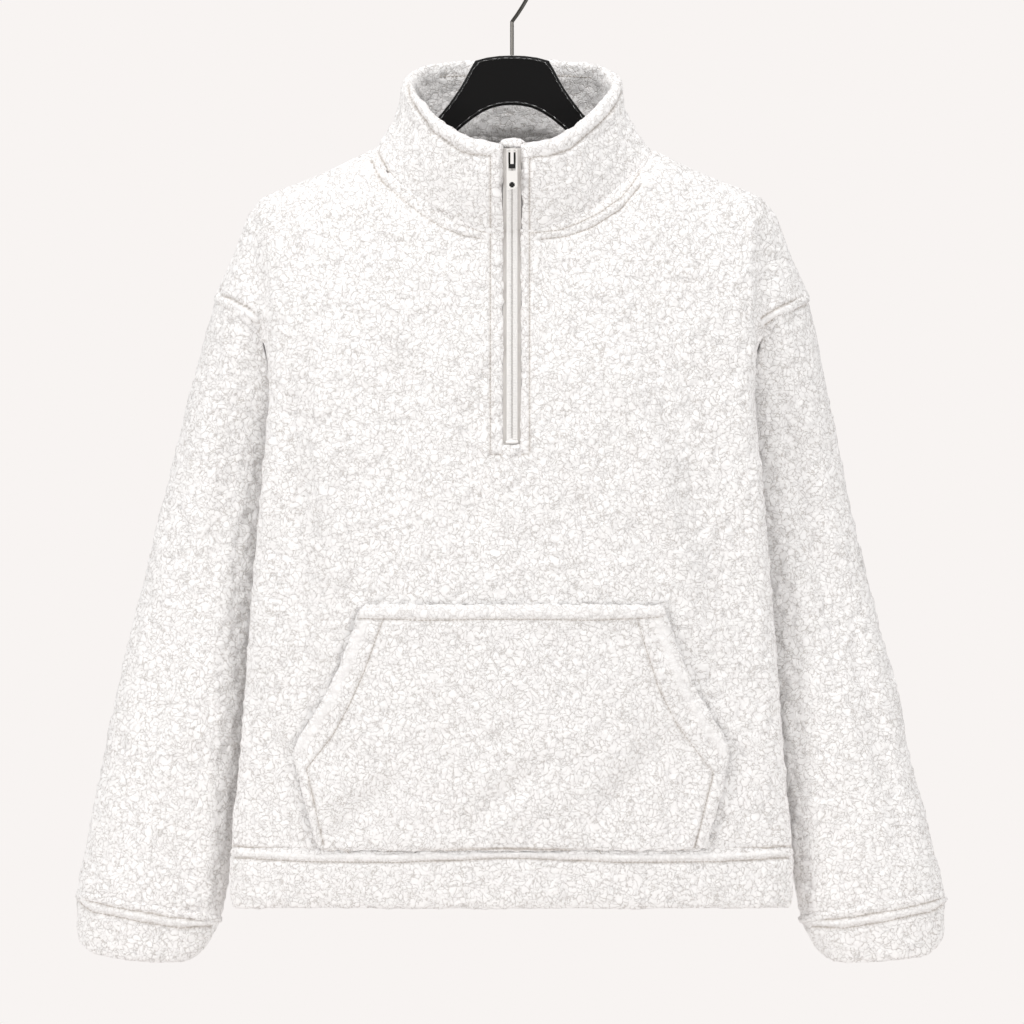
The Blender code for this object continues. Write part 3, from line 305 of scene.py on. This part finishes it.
# Soft drape folds: side, points, half-width and height in mm (a trough is negative)
drapeFolds = [
    ("front", [(605, 380), (625, 450), (645, 530), (670, 600)], 13, -3.2),
    ("front", [(625, 360), (652, 440), (672, 520), (700, 600)], 12, 2.4),
    ("front", [(555, 450), (575, 500), (597, 550), (612, 590)], 11, -2.6),
    ("front", [(480, 380), (474, 450), (480, 520), (492, 575)], 12, -2.6),
    ("front", [(325, 330), (322, 420), (330, 520), (342, 605)], 14, 3.0),
    ("front", [(290, 360), (292, 450), (300, 560), (302, 660)], 11, -2.4),
    ("front", [(420, 300), (405, 380), (400, 470), (410, 560)], 13, -2.2),
    ("front", [(330, 845), (352, 815), (378, 792), (405, 770)], 11, -2.6),
    ("front", [(460, 838), (490, 805), (520, 780), (552, 758)], 12, -2.8),
    ("front", [(590, 835), (610, 800), (640, 770), (665, 735)], 11, -2.2),
    ("front", [(240, 380), (228, 480), (205, 590), (185, 700)], 12, -2.4),
    ("front", [(190, 560), (165, 660), (140, 770), (120, 860)], 11, -2.2),
    ("front", [(782, 380), (800, 480), (826, 590), (846, 700)], 12, -2.4),
    ("front", [(838, 560), (862, 660), (886, 770), (906, 860)], 11, -2.2),
    ("back", [(400, 300), (420, 420), (415, 560), (430, 700)], 14, -2.8),
    ("back", [(600, 280), (590, 400), (604, 540), (590, 690)], 13, -2.6),
    ("back", [(512, 360), (520, 480), (506, 600), (514, 760)], 13, 2.6),
    ("back", [(320, 360), (335, 480), (330, 620), (345, 790)], 12, -2.4),
    ("back", [(700, 340), (690, 470), (702, 610), (688, 800)], 12, -2.6),
    ("back", [(235, 390), (222, 500), (196, 620), (170, 760)], 12, -2.2),
    ("back", [(790, 390), (806, 500), (832, 620), (858, 760)], 12, -2.2),
]


softNodes = ["front_panel", "back_panel", "sleeve_left", "sleeve_right", "collar", "hem_band", "cuff_left",
             "cuff_right", "kangaroo_pocket"]


def weldedCopy(nodeName):
    mesh = frame["nodes"][nodeName].data.copy()
    work = bmesh.new()
    work.from_mesh(mesh)
    bmesh.ops.remove_doubles(work, verts=work.verts, dist=1e-6)
    for f in work.faces:
        f.smooth = True
    work.to_mesh(mesh)
    work.free()
    return mesh


def treeOf(meshes):
    points, faces = [], []
    for mesh in meshes:
        base = len(points)
        points += [v.co.copy() for v in mesh.vertices]
        faces += [tuple(base + i for i in p.vertices) for p in mesh.polygons]
    return BVHTree.FromPolygons(points, faces)


wholeCloth = treeOf([weldedCopy(name) for name in softNodes])


def onCloth(x, z, side):
    y, way = (-0.4, 1) if side == "front" else (0.4, -1)
    return wholeCloth.ray_cast(Vector((x, y, z)), Vector((0, way, 0)))[0]


def laidLine(points, side, step=0.0012):
    # The line through the pixels, laid on the cloth of that side, as close points
    flat = [placeOf(*p) for p in points]
    laid = []
    for (x0, z0), (x1, z1) in zip(flat, flat[1:]):
        count = max(2, int(math.hypot(x1 - x0, z1 - z0) / step))
        for i in range(count):
            t = i / count
            hit = onCloth(x0 + (x1 - x0) * t, z0 + (z1 - z0) * t, side)
            if hit is not None:
                laid.append(hit)
    return laid


def lineRecords():
    records = []
    for side, mirrored, points, width, depth, calm in stitchLines:
        for flip in ([False, True] if mirrored else [False]):
            run = [(photo["pixels"] - c, r) for c, r in points] if flip else points
            for face in (["front", "back"] if side == "both" else [side]):
                records.append((laidLine(run, face), width / 1000, depth / 1000, calm))
    return records


seams = lineRecords()
print("stitch lines laid:", len(seams))


def nearest(run, points, reach=0.012):
    # Distance of each point from a laid line, far away where the line doesn't come near
    tree = KDTree(len(run))
    for i, p in enumerate(run):
        tree.insert(p, i)
    tree.balance()
    corners = np.array([list(p) for p in run])
    near = np.all((points > corners.min(axis=0) - reach) & (points < corners.max(axis=0) + reach), axis=1)
    away = np.full(len(points), 1.0)
    for i in np.nonzero(near)[0]:
        away[i] = tree.find(points[i])[2]
    return away


# Relief of the pile: curls parted by valleys, puffs between them and a broad swell, all in metres
pile = {"curl": 0.0065, "warp": 0.013, "lean": 1.7, "depth": 0.0014, "valley": 0.1, "puff": 0.0012,
        "puffSize": 1.3, "gateSize": 1.5, "swell": 0.0011, "swellSize": 0.034}


def pileRelief(points, strength):
    drift = np.stack([cloud(points, pile["warp"], s) for s in (11, 12, 13)], axis=1)
    bent = points + drift * pile["curl"] * pile["lean"]
    ridge = cloud(bent, pile["curl"], 3)
    gate = smooth(-0.12, 0.18, cloud(points, pile["curl"] * pile["gateSize"], 8))
    valley = np.exp(-(ridge / pile["valley"]) ** 2) * gate
    puffs = cloud(points, pile["curl"] * pile["puffSize"], 21)
    swell = cloud(points, pile["swellSize"], 31)
    return strength * (puffs * pile["puff"] * 2 - valley * pile["depth"]) + swell * pile["swell"] * 2


drape = {"gain": 2.4, "ends": 0.6}  # how strong the soft folds are, and how bluntly they end


def foldRelief(points, side):
    total = np.zeros(len(points))
    for where, run, width, height in drapeFolds:
        if where != side:
            continue
        flat = np.array([placeOf(*p) for p in run])
        best = np.full(len(points), 9.0)
        along = np.zeros(len(points))
        for i, (a, b) in enumerate(zip(flat, flat[1:])):
            way = b - a
            t = np.clip(((points[:, [0, 2]] - a) @ way) / (way @ way), 0, 1)
            gap = np.linalg.norm(points[:, [0, 2]] - a - t[:, None] * way, axis=1)
            closer = gap < best
            best[closer] = gap[closer]
            along[closer] = (i + t[closer]) / (len(flat) - 1)
        taper = np.sin(np.pi * np.clip(along, 0.02, 0.98)) ** drape["ends"]
        total += drape["gain"] * height / 1000 * taper * np.exp(-(best / (width / 1000)) ** 2)
    return total


# One skin for each solid: grown past it, gridded evenly, eased and then given its relief.
# A sleeve counts as round below "roundFrom"; "turn" is how far a face may lean to the inner side.
skin = {"grow": 0.0012, "grid": 0.0022, "easing": 3, "flat": (0.25, 0.75), "roundFrom": (-0.40, -0.44),
        "turn": 0.35, "inner": 0.4, "paintedGrooveShade": 0.0013, "lip": 0.0005, "lipAway": 0.004, "lipWidth": 0.0018}


def skinMesh(nodeName):
    source = bpy.data.objects.new("source", weldedCopy(nodeName))
    bpy.context.scene.collection.objects.link(source)
    source.modifiers.new("round", "SUBSURF").levels = 1
    grow = source.modifiers.new("grow", "DISPLACE")
    grow.strength = skin["grow"]
    grow.mid_level = 0.0
    grid = source.modifiers.new("grid", "REMESH")
    grid.mode = "VOXEL"
    grid.voxel_size = skin["grid"]
    ease = source.modifiers.new("ease", "SMOOTH")
    ease.factor = 0.5
    ease.iterations = skin["easing"]
    bpy.context.view_layer.update()
    made = bpy.data.meshes.new_from_object(source.evaluated_get(bpy.context.evaluated_depsgraph_get()))
    bpy.data.objects.remove(source)
    return made


def readVertices(mesh, what):
    values = np.empty(len(mesh.vertices) * 3)
    mesh.vertices.foreach_get(what, values)
    return values.reshape(-1, 3)


def fleecePiece(nodeName, settings):
    made = skinMesh(nodeName)
    points, facing = readVertices(made, "co"), readVertices(made, "normal")
    outer = settings["outer"](points, facing)
    relief = pileRelief(points, settings["pile"])
    # Where the piece turns in at a seam, troughs fade, so that it still meets its neighbour
    level = np.abs(facing[:, 1])
    if settings.get("around"):
        low = smooth(*skin["roundFrom"], points[:, 2]) if settings["around"] == "low" else 1.0
        level = np.hypot(level, facing[:, 0] * low)
    flatness = smooth(*skin["flat"], level)
    relief = np.where(relief < 0, relief * (0.3 + 0.7 * flatness), relief)
    frontish = smooth(0.0, 0.5, -facing[:, 1] * outer)
    backish = smooth(0.0, 0.5, facing[:, 1] * outer)
    relief += foldRelief(points, "front") * frontish + foldRelief(points, "back") * backish
    smoothness, paintedGrooveShade = np.zeros(len(points)), np.zeros(len(points))
    for run, width, depth, calm in seams:
        away = nearest(run, points)
        relief -= depth * np.exp(-(away / width) ** 2) * flatness
        smoothness = np.maximum(smoothness, calm * np.exp(-(away / width / 1.2) ** 4))
        if depth > 0:  # a groove: its painted shade, and the cloth that puffs up beside it
            paintedGrooveShade = np.maximum(paintedGrooveShade, np.exp(-(away / skin["paintedGrooveShade"]) ** 2))
            relief += skin["lip"] * np.exp(-((away - skin["lipAway"]) / skin["lipWidth"]) ** 2)
    relief = relief * np.where(outer > 0, 1, skin["inner"])
    points = points + facing * relief[:, None]
    made.vertices.foreach_set("co", points.ravel())
    made.attributes.new("calm", "FLOAT", "POINT").data.foreach_set("value", smoothness)
    made.attributes.new("paintedGrooveShade", "FLOAT", "POINT").data.foreach_set("value", paintedGrooveShade)
    if settings.get("open"):  # the side that faces into the garment isn't drawn twice
        work = bmesh.new()
        work.from_mesh(made)
        work.verts.ensure_lookup_table()
        gone = [v for v in work.verts if outer[v.index] < 0]
        bmesh.ops.delete(work, geom=gone, context="VERTS")
        work.to_mesh(made)
        work.free()
    made.update()
    made.shade_smooth()
    piece = newPiece(settings["name"], made, fleece, "garment")
    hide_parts(nodeName)
    print(settings["name"], len(made.polygons), "faces")
    return piece


def towardFront(points, facing):
    return np.where(facing[:, 1] > skin["turn"], -1.0, 1.0)


def towardBack(points, facing):
    return np.where(facing[:, 1] < -skin["turn"], -1.0, 1.0)


def allOuter(points, facing):
    return np.ones(len(points))


def aroundSleeve(points, facing):
    # Outward is away from the sleeve's middle, taken row by row; its depth counts 2.2 times
    rows = np.round(points[:, 2] / 0.02).astype(int)
    middle = np.zeros((len(points), 2))
    for row in np.unique(rows):
        inRow = rows == row
        part = points[inRow][:, :2]
        middle[inRow] = (part.min(axis=0) + part.max(axis=0)) / 2
    way = points[:, :2] - middle
    way[:, 1] *= 2.2
    return np.where((way * facing[:, :2]).sum(axis=1) < 0, -1.0, 1.0)


# Each cloth piece: pile height, which way is out, whether the inner side is left off, and its flat
# size in metres with the area that shows
sleeve = {"pile": 1.0, "outer": aroundSleeve, "around": "low", "open": True,
          "flat": (0.37, 0.61), "area": 0.167}
cuff = {"pile": 0.9, "outer": allOuter, "around": "all", "flat": (0.30, 0.06), "area": 0.0175}
clothPieces = {
    "front_panel": {"name": "frontPanel", "pile": 1.0, "outer": towardFront, "open": True,
                    "flat": (0.58, 0.69), "area": 0.346},
    "back_panel": {"name": "backPanel", "pile": 1.0, "outer": towardBack, "open": True,
                   "flat": (0.58, 0.69), "area": 0.340},
    "sleeve_left": {"name": "leftSleeve", **sleeve},
    "sleeve_right": {"name": "rightSleeve", **sleeve},
    "collar": {"name": "standCollar", "pile": 0.8, "outer": allOuter, "around": "all",
               "flat": (0.52, 0.12), "area": 0.047},
    "hem_band": {"name": "hemBand", "pile": 0.9, "outer": allOuter, "around": "all",
                 "flat": (1.08, 0.06), "area": 0.064},
    "cuff_left": {"name": "leftCuff", **cuff},
    "cuff_right": {"name": "rightCuff", **cuff},
    "kangaroo_pocket": {"name": "kangarooPocket", "pile": 1.0, "outer": towardFront, "open": True,
                        "flat": (0.42, 0.235), "area": 0.0895},
}
for nodeName, settings in clothPieces.items():
    piece = fleecePiece(nodeName, settings)

seamCloth = {"near": 0.0009, "across": 0.006, "grid": 0.0022, "full": 0.0012}


def seamAllowances():
    # The turned-in cloth between two sewn pieces: the facing edge walls of the solids, thickened
    points, faces = [], []
    meshes = {name: weldedCopy(name) for name in softNodes}
    trees = {name: treeOf([mesh]) for name, mesh in meshes.items()}
    for name, mesh in meshes.items():
        touching = np.zeros(len(mesh.vertices), bool)
        for other, tree in trees.items():
            if other == name or "kangaroo_pocket" in (name, other):
                continue
            for i, v in enumerate(mesh.vertices):
                touching[i] |= tree.find_nearest(v.co, seamCloth["near"])[0] is not None
        base = len(points)
        points += [v.co.copy() for v in mesh.vertices]
        faces += [[base + i for i in p.vertices] for p in mesh.polygons
                  if all(touching[i] for i in p.vertices)]
    strip = bpy.data.objects.new("strip", meshFrom("strip", points, faces))
    bpy.context.scene.collection.objects.link(strip)
    thick = strip.modifiers.new("thick", "SOLIDIFY")
    thick.thickness = seamCloth["across"]
    thick.offset = 0
    grid = strip.modifiers.new("grid", "REMESH")
    grid.mode = "VOXEL"
    grid.voxel_size = seamCloth["grid"]
    full = strip.modifiers.new("full", "DISPLACE")
    full.strength = seamCloth["full"]
    full.mid_level = 0.0
    bpy.context.view_layer.update()
    made = bpy.data.meshes.new_from_object(strip.evaluated_get(bpy.context.evaluated_depsgraph_get()))
    bpy.data.objects.remove(strip)
    made.shade_smooth()
    newPiece("seamAllowances", made, fleece, "garment")
    print("seam allowances", len(made.polygons), "faces")


seamAllowances()


def capsules(pairs, radius, sides=5):
    # Short round-ended rods, one for each pair of points
    points, faces = [], []
    for a, b in pairs:
        way = (b - a).normalized()
        first = way.orthogonal().normalized()
        second = way.cross(first)
        base = len(points)
        points.append(a - way * radius * 0.6)
        for place, wide in ((a, 0.8), ((a + b) / 2, 1.0), (b, 0.8)):
            for k in range(sides):
                turn = 2 * math.pi * k / sides
                points.append(place + (first * math.cos(turn) + second * math.sin(turn)) * radius * wide)
        points.append(b + way * radius * 0.6)
        last = base + 1 + 3 * sides
        for k in range(sides):
            n = (k + 1) % sides
            faces.append((base, base + 1 + n, base + 1 + k))
            for ring in (0, 1):
                low = base + 1 + ring * sides
                faces.append((low + k, low + n, low + sides + n, low + sides + k))
            faces.append((last, last - sides + k, last - sides + n))
    return points, faces


# Neck tape: a soft rod of fleece under the collar's seam, where the seam turns over the shoulder
neckTape = {"radius": 0.0024, "sink": 0.0008, "step": 0.002, "longest": 0.012,
            "runs": [[(377, 160), (384, 169), (392, 178), (403, 189), (412, 196)],
                     [(608, 199), (618, 190), (632, 177), (643, 165), (648, 158)]]}
tapePairs = []
for run in neckTape["runs"]:
    laid = [p + Vector((0, neckTape["sink"], 0)) for p in laidLine(run, "front", neckTape["step"])]
    tapePairs += [(a, b) for a, b in zip(laid, laid[1:]) if (a - b).length < neckTape["longest"]]
newPiece("neckTape", meshFrom("neckTape", *capsules(tapePairs, neckTape["radius"], 10)), fleece,
         "garment")

# Topstitching on the finished cloth: a laid line has a point every 1.2 mm, a stitch takes 2 steps of it
# and the next starts after 3
thread = {"radius": 0.00045, "steps": 2, "every": 3, "search": 0.006, "longest": 0.005, "colour": "#BFB7AF"}
finished = treeOf([bpy.data.objects[settings["name"]].data for settings in clothPieces.values()])
stitches = []
for run, width, depth, calm in seams:
    if depth < 0:
        continue
    for i in range(0, len(run) - 3, thread["every"]):
        ends = []
        for p in (run[i], run[i + thread["steps"]]):
            way = wholeCloth.find_nearest(p)[1]
            hit = finished.ray_cast(p + way * thread["search"], -way, 2 * thread["search"])[0]
            if hit is not None:
                ends.append(hit)
        if len(ends) == 2 and (ends[0] - ends[1]).length < thread["longest"]:
            stitches.append(tuple(ends))
# Spun polyester thread: matt and a little hairy, drawn grey for the shadow that it lies in.
threadPaint, _, _ = newMaterial("spunPolyesterThread", {
    "Base Color": linearColour(thread["colour"]), "Roughness": 0.7, "Sheen Weight": 0.3})
newPiece("topstitching", meshFrom("topstitching", *capsules(stitches, thread["radius"])), threadPaint,
         "garment")
print("stitches", len(stitches))

# Zip: two rows of coil turns, 1.5 mm apart, from below the slider to the bottom stop
coil = {"pitch": 0.0015, "inner": 0.0005, "outer": 0.0046, "radius": 0.00062, "top": 143, "bottom": 439}
chainTree = treeOf([weldedCopy("zip_chain")])


def onChain(x, z):
    return chainTree.ray_cast(Vector((x, -0.4, z)), Vector((0, 1, 0)))[0]


turns = []
z = heightOf(coil["top"])
while z > heightOf(coil["bottom"]):
    for hand in (-1, 1):
        low = z - (coil["pitch"] / 2 if hand > 0 else 0)
        near = onChain(hand * 0.001, low)
        if near is not None:
            y = near.y - coil["radius"] * 0.5
            turns.append((Vector((hand * coil["inner"], y, low)), Vector((hand * coil["outer"], y, low))))
    z -= coil["pitch"]
newPiece("zipCoils", meshFrom("zipCoils", *capsules(turns, coil["radius"])), coilPlastic,
         "garment")

# The bottom stop: one short bar across the chain's end
stopBar = {"seatRow": 438, "row": 442, "half": 0.0052, "out": 0.0006, "radius": 0.0018}
seat = onChain(0, heightOf(stopBar["seatRow"]))
if seat is not None:
    ends = [Vector((x, seat.y - stopBar["out"], heightOf(stopBar["row"])))
            for x in (-stopBar["half"], stopBar["half"])]
    newPiece("bottomStop", meshFrom("bottomStop", *capsules([ends], stopBar["radius"], 10)), coilPlastic,
             "garment")

# Grey lines between and beside the coil rows, for the shadow that lies there
coilGap = {"at": (-0.0053, 0.0, 0.0053), "rows": 6, "out": 0.0003, "radius": 0.00042, "colour": "#A8A39E"}
gaps = []
for x in coilGap["at"]:
    laid = [onChain(x, heightOf(row)) for row in range(coil["top"] + 1, coil["bottom"], coilGap["rows"])]
    forward = Vector((0, -coilGap["out"], 0))
    gaps += [(a + forward, b + forward) for a, b in zip(laid, laid[1:]) if a is not None and b is not None]
# Painted shade: matt grey rods for the shadow between and beside the coil rows.
gapPaint, _, _ = newMaterial("paintedCoilGapShade", {
    "Base Color": linearColour(coilGap["colour"]), "Roughness": 0.8})
newPiece("coilSeams", meshFrom("coilSeams", *capsules(gaps, coilGap["radius"])), gapPaint,
         "garment")

# Folds of fleece that cover the ends of the zip
zipFolds = {"zipTopFold": {"row": 144.6, "seatRow": 203, "out": 0.0022, "wide": 0.0130, "high": 0.0058,
                           "deep": 0.0062},
            "zipBottomFold": {"row": 450.5, "seatRow": 430, "out": 0.0002, "wide": 0.0112, "high": 0.0062,
                              "deep": 0.0034}}
for name, fold in zipFolds.items():
    foldMesh = bpy.data.meshes.new(name)
    foldShape = bmesh.new()
    bmesh.ops.create_icosphere(foldShape, subdivisions=4, radius=1.0)
    foldShape.to_mesh(foldMesh)
    foldShape.free()
    seat = onChain(0, heightOf(fold["seatRow"]))
    for v in foldMesh.vertices:
        v.co = Vector((v.co.x * fold["wide"], seat.y + fold["out"] + v.co.y * fold["deep"],
                       heightOf(fold["row"]) + v.co.z * fold["high"]))
    bumps = pileRelief(np.array([v.co for v in foldMesh.vertices]), 1.0)
    for v, height in zip(foldMesh.vertices, bumps):
        v.co += v.normal * float(height)
    foldMesh.shade_smooth()
    newPiece(name, foldMesh, fleece, "garment")
print("zip drawn")

# Painted shade: dark plates for the hollow seen through the pull's window and hole, beside the bridge on the
# slider's face
hollow = {"width": 0.0066, "top": 151.6, "bottom": 169.6, "bridge": 0.0016, "foot": 0.005,
          "thick": 0.00035, "face": (0.0035, 158), "hole": 0.0029, "holeRow": 186.2, "behind": 0.0002}
# Painted shade: matt and nearly black, for the shadow in the hollow.
shadowPaint, _, _ = newMaterial("paintedHollowShade", {
    "Base Color": linearColour("#141211"), "Roughness": 0.6, "Metallic": 0.0})
sliderTree = treeOf([weldedCopy("zip_slider")])
faceX, faceRow = hollow["face"]
sliderFace = sliderTree.ray_cast(Vector((faceX, -0.4, heightOf(faceRow))), Vector((0, 1, 0)))[0].y
pullBack = max(v.co.y for v in weldedCopy("zip_pull").vertices)


def plates(name, boxes, front):
    # Thin upright plates whose front is at that depth; each box is x0, x1, z0, z1
    points, faces = [], []
    for x0, x1, z0, z1 in boxes:
        base = len(points)
        for y in (front, front + hollow["thick"]):
            points += [Vector((x, y, z)) for x, z in ((x0, z0), (x1, z0), (x1, z1), (x0, z1))]
        for side in ((0, 1, 2, 3), (7, 6, 5, 4), (0, 4, 5, 1), (1, 5, 6, 2), (2, 6, 7, 3), (3, 7, 4, 0)):
            faces.append(tuple(base + i for i in side))
    mesh = meshFrom(name, points, faces)
    mesh.shade_flat()
    return mesh


topZ, lowZ, holeZ = heightOf(hollow["top"]), heightOf(hollow["bottom"]), heightOf(hollow["holeRow"])
half, bridge, hole = hollow["width"] / 2, hollow["bridge"], hollow["hole"]
newPiece("sliderShade", plates("sliderShade", [
    (-half, -bridge, lowZ, topZ), (bridge, half, lowZ, topZ), (-bridge, bridge, lowZ, lowZ + hollow["foot"])],
    sliderFace - hollow["thick"]), shadowPaint, "garment")
newPiece("pullInset", plates("pullInset", [(-hole, hole, holeZ - hole, holeZ + hole)],
                             pullBack - hollow["behind"]), shadowPaint, "pull")

# The hanger's raised rim: a thin bead along its upper edge and along its arch, in mm from the hook
hangerRim = {"radius": 0.0009, "inset": 0.0026, "out": 0.0001,
             "upper": [(0, 99.6), (12, 100), (24, 101.6), (33, 104.2), (39.5, 112.3), (44, 121),
                       (48.7, 129.4), (54, 137.2), (60, 145.8), (66.5, 154), (75.5, 163.8), (86, 173),
                       (98, 182.6)],
             "arch": [(0, 146.6), (9.5, 147.3), (19, 149.4), (28, 153.4), (38, 160), (47, 167.3), (55, 174.4),
                      (64, 182.2), (76, 191.5)]}
hangerFace = min(v.co.y for v in frame["nodes"]["hanger_body"].data.vertices) + hangerRim["out"]


def rimPairs(run, inset):
    # The run, moved in from the edge by the inset, on both sides of the hanger
    pairs = []
    for hand in (-1, 1):
        flat = [Vector((hand * x / 1000, -z / 1000)) for x, z in run]
        moved = []
        for i, p in enumerate(flat):
            way = (flat[min(i + 1, len(flat) - 1)] - flat[max(i - 1, 0)]).normalized()
            across = Vector((-way.y, way.x))
            moved.append(p + across * (inset if across.y < 0 else -inset))
        pairs += list(zip(moved, moved[1:]))
    return [(Vector((a.x, hangerFace, a.y)), Vector((b.x, hangerFace, b.y))) for a, b in pairs]


rims = rimPairs(hangerRim["upper"], hangerRim["inset"]) + rimPairs(hangerRim["arch"], -hangerRim["inset"])
# The same polystyrene, polished where the mould was: its narrow glints draw the rim.
rimPlastic, _, _ = newMaterial("polishedPolystyrene", {
    "Base Color": linearColour("#181717"), "Roughness": 0.14, "IOR": 1.59, "Specular IOR Level": 0.7})
newPiece("hangerRim", meshFrom("hangerRim", *capsules(rims, hangerRim["radius"], 8)), rimPlastic,
         "garment")

# Hardware that keeps its solid
finishes = {"hanger_body": blackPlastic, "hanger_hook": steelWire, "zip_slider": whiteEnamel,
            "zip_pull": whiteEnamel, "zip_chain": coilPlastic, "zip_tape_left": tapeWeave,
            "zip_tape_right": tapeWeave}
for nodeName, material in finishes.items():
    node = frame["nodes"][nodeName]
    node.material_slots[0].material = material
print("hardware finished")

# Stage, light and camera
studio = {"wall": "#F8F4F2", "glow": "#FFFEFD", "glowStrength": 0.5, "floorDrop": 1.36, "floorRadius": 1.5}
floor = meshFrom("floor", [(studio["floorRadius"] * math.cos(a), studio["floorRadius"] * math.sin(a),
                            -studio["floorDrop"]) for a in np.linspace(0, 2 * math.pi, 96, False)],
                 [range(96)])
floorPiece = bpy.data.objects.new("floor", floor)
bpy.context.scene.collection.objects.link(floorPiece)
# Pale paper: matt, and the colour of the wall behind.
floorPaint, _, _ = newMaterial("palePaper", {"Base Color": linearColour(studio["wall"]), "Roughness": 0.9})
floor.materials.append(floorPaint)

world = bpy.context.scene.world or bpy.data.worlds.new("studio")
bpy.context.scene.world = world
world.use_nodes = True
worldTree = world.node_tree
worldTree.nodes.clear()
# The pale paper is what shows behind the garment; a dimmer white is what lights it
shown = addNode(worldTree, "ShaderNodeBackground", {"Color": linearColour(studio["wall"]), "Strength": 1.0})
glow = addNode(worldTree, "ShaderNodeBackground", {
    "Color": linearColour(studio["glow"]), "Strength": studio["glowStrength"]})
seen = addNode(worldTree, "ShaderNodeLightPath")
mixed = addNode(worldTree, "ShaderNodeMixShader", links={
    0: seen.outputs["Is Camera Ray"], 1: glow.outputs[0], 2: shown.outputs[0]})
addNode(worldTree, "ShaderNodeOutputWorld", links={"Surface": mixed.outputs[0]})
bpy.context.scene.view_settings.view_transform = "Standard"

# Soft lamps: name, place, aim, width in metres and power in watts
lamps = [
    ("overhead", (0.0, -0.5, 1.3), (0.0, 0.0, -0.2), 0.7, 15),
    ("left", (-2.4, -1.8, 0.0), (0.0, 0.0, -0.6), 0.9, 36),
    ("right", (2.5, -2.2, -0.4), (0.0, 0.0, -0.6), 1.2, 34),
    ("rear", (0.6, 3.2, 0.6), (0.0, 0.0, -0.5), 1.4, 22),
]
for name, place, aim, size, power in lamps:
    data = bpy.data.lights.new(name, "AREA")
    data.size = size
    data.energy = power
    lamp = bpy.data.objects.new(name, data)
    bpy.context.scene.collection.objects.link(lamp)
    lamp.location = place
    lamp.rotation_euler = (Vector(aim) - Vector(place)).to_track_quat("-Z", "Y").to_euler()

eyeHeight = heightOf(photo["pixels"] / 2)
cameraData = bpy.data.cameras.new("camera")
cameraData.sensor_width = photo["sensor"]
cameraData.lens = photo["sensor"] * photo["distance"] / (photo["pixels"] * photo["step"])
camera = bpy.data.objects.new("camera", cameraData)
bpy.context.scene.collection.objects.link(camera)
camera.location = (0, -photo["distance"], eyeHeight)
camera.rotation_euler = (math.pi / 2, 0, 0)
bpy.context.scene.camera = camera
print("camera and lights set")
